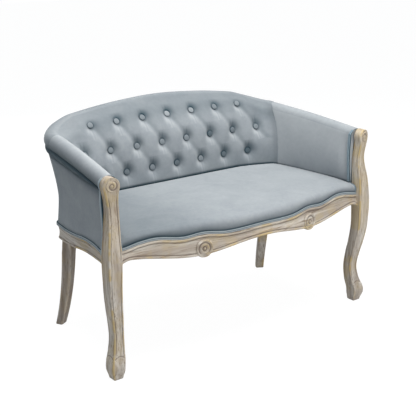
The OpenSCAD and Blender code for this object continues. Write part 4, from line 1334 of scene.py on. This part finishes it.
def outside_point(u, h):
    """h runs from the hem up to the seam under the roll, where the cover turns in."""
    z = lerp(hem_z(u) + FIT, shown_seam_z(u) - FIT, h)
    soft = 0.6 * cloud(u * 300, 0, z, 90, 2) * ramp(h, 0, 0.1) * ramp(h, 1, 0.9)
    # Painted shade over the outside covers, deeper towards the top and deepest in the roll's shadow just
    # under it.
    shadow_under_roll = ramp(h, lerp(0.74, 0.93, min(1, u)), 1) ** 1.6
    return outer(u, z, 4 * ease(h, 0.965, 1) + soft) + (z, -0.11 - 0.09 * h - 0.62 * shadow_under_roll)


def outside_rows(us):
    return [[outside_point(u, h) for u in us] for h in steps(0, 1, 60)]


def stretched_cover(rows, name, node):
    work = new_work()
    lay(work, rows, round_again=False, capped=False)
    bmesh.ops.recalc_face_normals(work, faces=work.faces)
    outward = sum(f.calc_center_median().normalized().dot(f.normal) for f in work.faces)
    if outward < 0:
        bmesh.ops.reverse_faces(work, faces=work.faces)
    bmesh.ops.solidify(work, geom=work.faces[:], thickness=2.5 * MM)
    piece = finish_piece(work, name, VELVET, [node], 60)


arm_rows = outside_rows(steps(0, 1, 110) + TO_CORNER)
stretched_cover(arm_rows, "left_outside_cover", "left_outside_arm")
stretched_cover(mirrored(arm_rows), "right_outside_cover", "right_outside_arm")
back_rows = [row + mirrored([row[-2::-1]])[0] for row in outside_rows(FROM_CORNER + steps(2.01, 3, 90))]
stretched_cover(back_rows, "back_outside_cover", "outside_back")


# Double welts

def twin_cords():
    """Section of two cords side by side, as (across, proud, carve)."""
    r = WELT_W / 4
    # Each cord is painted in shade at its foot and in light on its crown.
    section = [(0, 0, -1)]
    for centre in (r, 3 * r):
        for a in (0, 25, 50, 70, 90, 110, 130, 155, 180):
            up = math.sin(math.radians(a))
            section.append((centre - r * math.cos(math.radians(a)), WELT_T - r + r * up, lerp(-1, 0.6, up)))
    return section + [(WELT_W, 0, -1)]


CORDS = twin_cords()


def seat_end_cord(x):
    """A single cord that follows the seat's edge beside a post, from the front welt back to the arm."""
    path = [Vector(p[:3]) for p in seat_ring(x)[2:] if p[1] < OUTER_FRONT_Y and p[2] > SEAT_FOOT_Z + 1]
    rings = []
    for k, place in enumerate(path):
        along = (path[min(k + 1, len(path) - 1)] - path[max(k - 1, 0)]).normalized()
        out = Vector((1, 0, 0)).cross(along) * -1
        ring = []
        # The cord is painted light, most on its upper side.
        for a in steps(0, 345, 23):
            across = math.cos(math.radians(a))
            up = math.sin(math.radians(a))
            p = place + END_CORD_R * (Vector((across, 0, 0)) + out * (up - 0.2))
            ring.append(tuple(p) + (0.45 + 0.45 * up,))
        rings.append(ring)
    return rings


def seat_welt():
    rings = [[(x, apron_face(x) + APRON_T - LIP_IN - proud, apron_top(x) + FIT + across, c)
              for across, proud, c in CORDS] for x in steps(-APRON_HALF, APRON_HALF, 260)]
    work = new_work()
    lay(work, rings)
    for side in (-1, 1):
        lay(work, seat_end_cord(side * (SEAT_HALF - END_CORD_R)))
    finish_piece(work, "seat_front_welt", SHADED_TRIM_VELVET, ["seat_welt"], 50)


def hem_rings(us):
    """Twin cords on top of the side and back wood, against the outside covers."""
    def point(u, across, proud, c):
        z = hem_z(u) + FIT + across
        return outer(u, z, -FIT - proud) + (z, c)
    return [[point(u, *cord) for cord in CORDS] for u in us]


def hem_welt(rings, name, node):
    ringed_piece(rings, name, SHADED_TRIM_VELVET, [node], 50)


def hem_welts():
    first = (WELT_W + FIT) / OUTER_RUN
    rings = hem_rings(steps(first, 1, 110) + TO_CORNER)
    hem_welt(rings, "left_hem_welt", "left_side_welt")
    hem_welt(mirrored(rings), "right_hem_welt", "right_side_welt")
    rings = both_sides(hem_rings(FROM_CORNER + steps(2.02, 3, 50)))
    hem_welt(rings, "back_hem_welt", "back_welt")


def cords_over_roll(cords, angles, flat, full):
    """The part that goes round the roll. The cords sink away where the roll's head covers them."""
    return [[roll_point(across / ARM_RUN, t, -FIT - proud * ease(t, flat, full)) + (c,)
             for across, proud, c in cords] for t in angles]


def outer_post_cords():
    """Cords that cover the tacks behind a post, from the hem up to the roll."""
    def point(z, across, proud, c):
        x, y = outer((across + OUTER_CORD_BACK) / OUTER_RUN, z, -FIT - OUTER_CORD_UP * proud)
        return x, lerp(y, RIM_FRONT_Y + across, ease(z, seam_z(0) - 50, seam_z(0))), z, c
    rings = [[point(z, *cord) for cord in CORDS] for z in steps(hem_z(0) + FIT, seam_z(0), 80)]
    return rings + cords_over_roll(CORDS, steps(seam_t(0) + 3, 48, 20), 52, 4)


def inner_post_cords():
    """The same inside the arm, from the top of the roll down to the seat. They lie in its shade."""
    def point(h, across, proud, c):
        x, y, z = arm_face(across / (SEAM_Y - OUTER_FRONT_Y), h)
        return x - FIT - proud, y, z, c
    shaded = [(across, proud, max(-1, c - 0.35)) for across, proud, c in CORDS]
    rings = cords_over_roll(shaded, steps(124, 180 - JOIN_TURN - 3, 20), 122, 176)
    return rings + [[point(h, *cord) for cord in shaded] for h in steps(1, 0, 60)]


def post_cords(side, name, node):
    work = new_work()
    lay(work, sided(side, outer_post_cords()))
    lay(work, sided(side, inner_post_cords()))
    finish_piece(work, name, CORD_VELVET, [node], 50)


seat_welt()
hem_welts()
post_cords(1, "left_post_cords", "left_post_welt")
post_cords(-1, "right_post_cords", "right_post_welt")


# Under the seat

def side_inner_x(y):
    """Inner face of a side apron."""
    return on_level((y - OUTER_FRONT_Y) / OUTER_RUN, HEM, APRON_T)[0]


def under_cloth():
    """Cloth tacked under the seat frame, narrower between the rear legs, and sagging a little."""
    rear = RAIL_BACK_Y - APRON_T - 1
    front_x = POST_X - 60
    clear = REAR_LEG_SIDE / 2 + 8
    leg_x = BLOCK_X - clear
    leg_y = BLOCK_Y - clear

    def point(s, t):
        y = lerp(apron_face(s * front_x) + APRON_T + 1, rear, t)
        half = lerp(min(side_inner_x(y) - 1, front_x), leg_x, ease(y, leg_y - 10, leg_y))
        return s * half, y, DUST_Z - 1 - CLOTH_SAG * (1 - s**4) * (1 - (2 * t - 1) ** 4)

    rows = [[point(s, t) for s in steps(-1, 1, 90)] for t in steps(0, 1, 50)]
    work = new_work()
    lay(work, rows, round_again=False, capped=False)
    bmesh.ops.recalc_face_normals(work, faces=work.faces)
    bmesh.ops.solidify(work, geom=work.faces[:], thickness=1 * MM)
    piece = finish_piece(work, "under_cloth", LINING, ["dust_cover"], 60)


under_cloth()

HIDDEN_WOOD = ("corner_blocks", "left_arm_rail", "right_arm_rail", "left_arm_slat", "right_arm_slat",
               "back_top_rail", "back_slat", "back_stile")
for material, nodes in ((BARE_WOOD, HIDDEN_WOOD), (JUTE, ("seat_webbing", "cross_webbing"))):
    for node in nodes:
        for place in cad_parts[node].material_slots:
            place.material = material


# Floor, light and camera

LAMP_COLOUR = (1.0, 0.985, 0.955)
LAMPS_AIM = (0, 0, 0.4)
AIR_STRENGTH = 0.285
PAPER_STRENGTH = 1.12
PAPER_SHARE = 0.85
CAMERA_PLACE = (-1.9176, -2.5400, 1.3994)
CAMERA_TURN = 37.266
CAMERA_TILT = 17.391
CAMERA_LENS = 81.25


def seen_rays(tree):
    """1 for what the camera sees, also in a mirror or through glass, and 0 for light that falls on pieces."""
    rays = tree.nodes.new("ShaderNodeLightPath").outputs
    seen = calc(tree, "MAXIMUM", rays["Is Camera Ray"], rays["Is Glossy Ray"])
    return calc(tree, "MAXIMUM", seen, rays["Is Transmission Ray"])


def stage_material(name, colour):
    """Pale matt paper, seen a little brighter than it lights the pieces."""
    material, tree, shader = new_material(name)
    put(tree, shader, Base_Color=colour, Roughness=0.9)
    paper = add(tree, "ShaderNodeEmission", Color=WHITE, Strength=PAPER_STRENGTH)
    share = calc(tree, "MULTIPLY", seen_rays(tree), PAPER_SHARE)
    mixed = add(tree, "ShaderNodeMixShader", in0=share, in1=shader.outputs[0], in2=paper.outputs[0])
    put(tree, tree.nodes["Material Output"], Surface=mixed.outputs[0])
    return material


def floor():
    work = bmesh.new()
    bmesh.ops.create_grid(work, x_segments=1, y_segments=1, size=12)
    mesh = bpy.data.meshes.new("studio_floor")
    work.to_mesh(mesh)
    work.free()
    mesh.materials.append(stage_material("pale_floor", srgb(216, 216, 216)))
    ground = bpy.data.objects.new("studio_floor", mesh)
    bpy.context.collection.objects.link(ground)


def softbox(name, place, size, power):
    lamp = bpy.data.lights.new(name, "AREA")
    lamp.shape = "RECTANGLE"
    lamp.size, lamp.size_y = size
    lamp.energy = power
    lamp.color = LAMP_COLOUR
    box = bpy.data.objects.new(name, lamp)
    box.location = place
    box.rotation_euler = (Vector(LAMPS_AIM) - Vector(place)).to_track_quat("-Z", "Y").to_euler()
    bpy.context.collection.objects.link(box)


def world_light():
    """Cool, weak light from all round, with a white background behind it."""
    world = bpy.data.worlds.new("studio_air")
    world.use_nodes = True
    tree = world.node_tree
    seen = seen_rays(tree)
    put(tree, tree.nodes["Background"], Strength=between(tree, seen, 0.0, 1.0, low=AIR_STRENGTH),
        Color=blend_colours(tree, seen, srgb(230, 242, 252), WHITE))
    bpy.context.scene.world = world


def studio_camera():
    lens = bpy.data.cameras.new("studio_camera")
    lens.sensor_width = 36
    lens.lens = CAMERA_LENS
    lens.clip_end = 60
    camera = bpy.data.objects.new("studio_camera", lens)
    camera.location = CAMERA_PLACE
    turn = math.radians(CAMERA_TURN)
    tilt = math.radians(CAMERA_TILT)
    look = Vector((math.sin(turn) * math.cos(tilt), math.cos(turn) * math.cos(tilt), -math.sin(tilt)))
    camera.rotation_euler = look.to_track_quat("-Z", "Y").to_euler()
    bpy.context.collection.objects.link(camera)
    bpy.context.scene.camera = camera


floor()
softbox("top_box", (0.0, -0.3, 2.7), (2.4, 2.0), 74)
softbox("front_box", (0.2, -3.2, 1.4), (1.8, 1.4), 38)
softbox("back_box", (0.9, 3.4, 1.2), (1.8, 1.4), 22)
world_light()
studio_camera()
bpy.context.scene.view_settings.view_transform = "Standard"
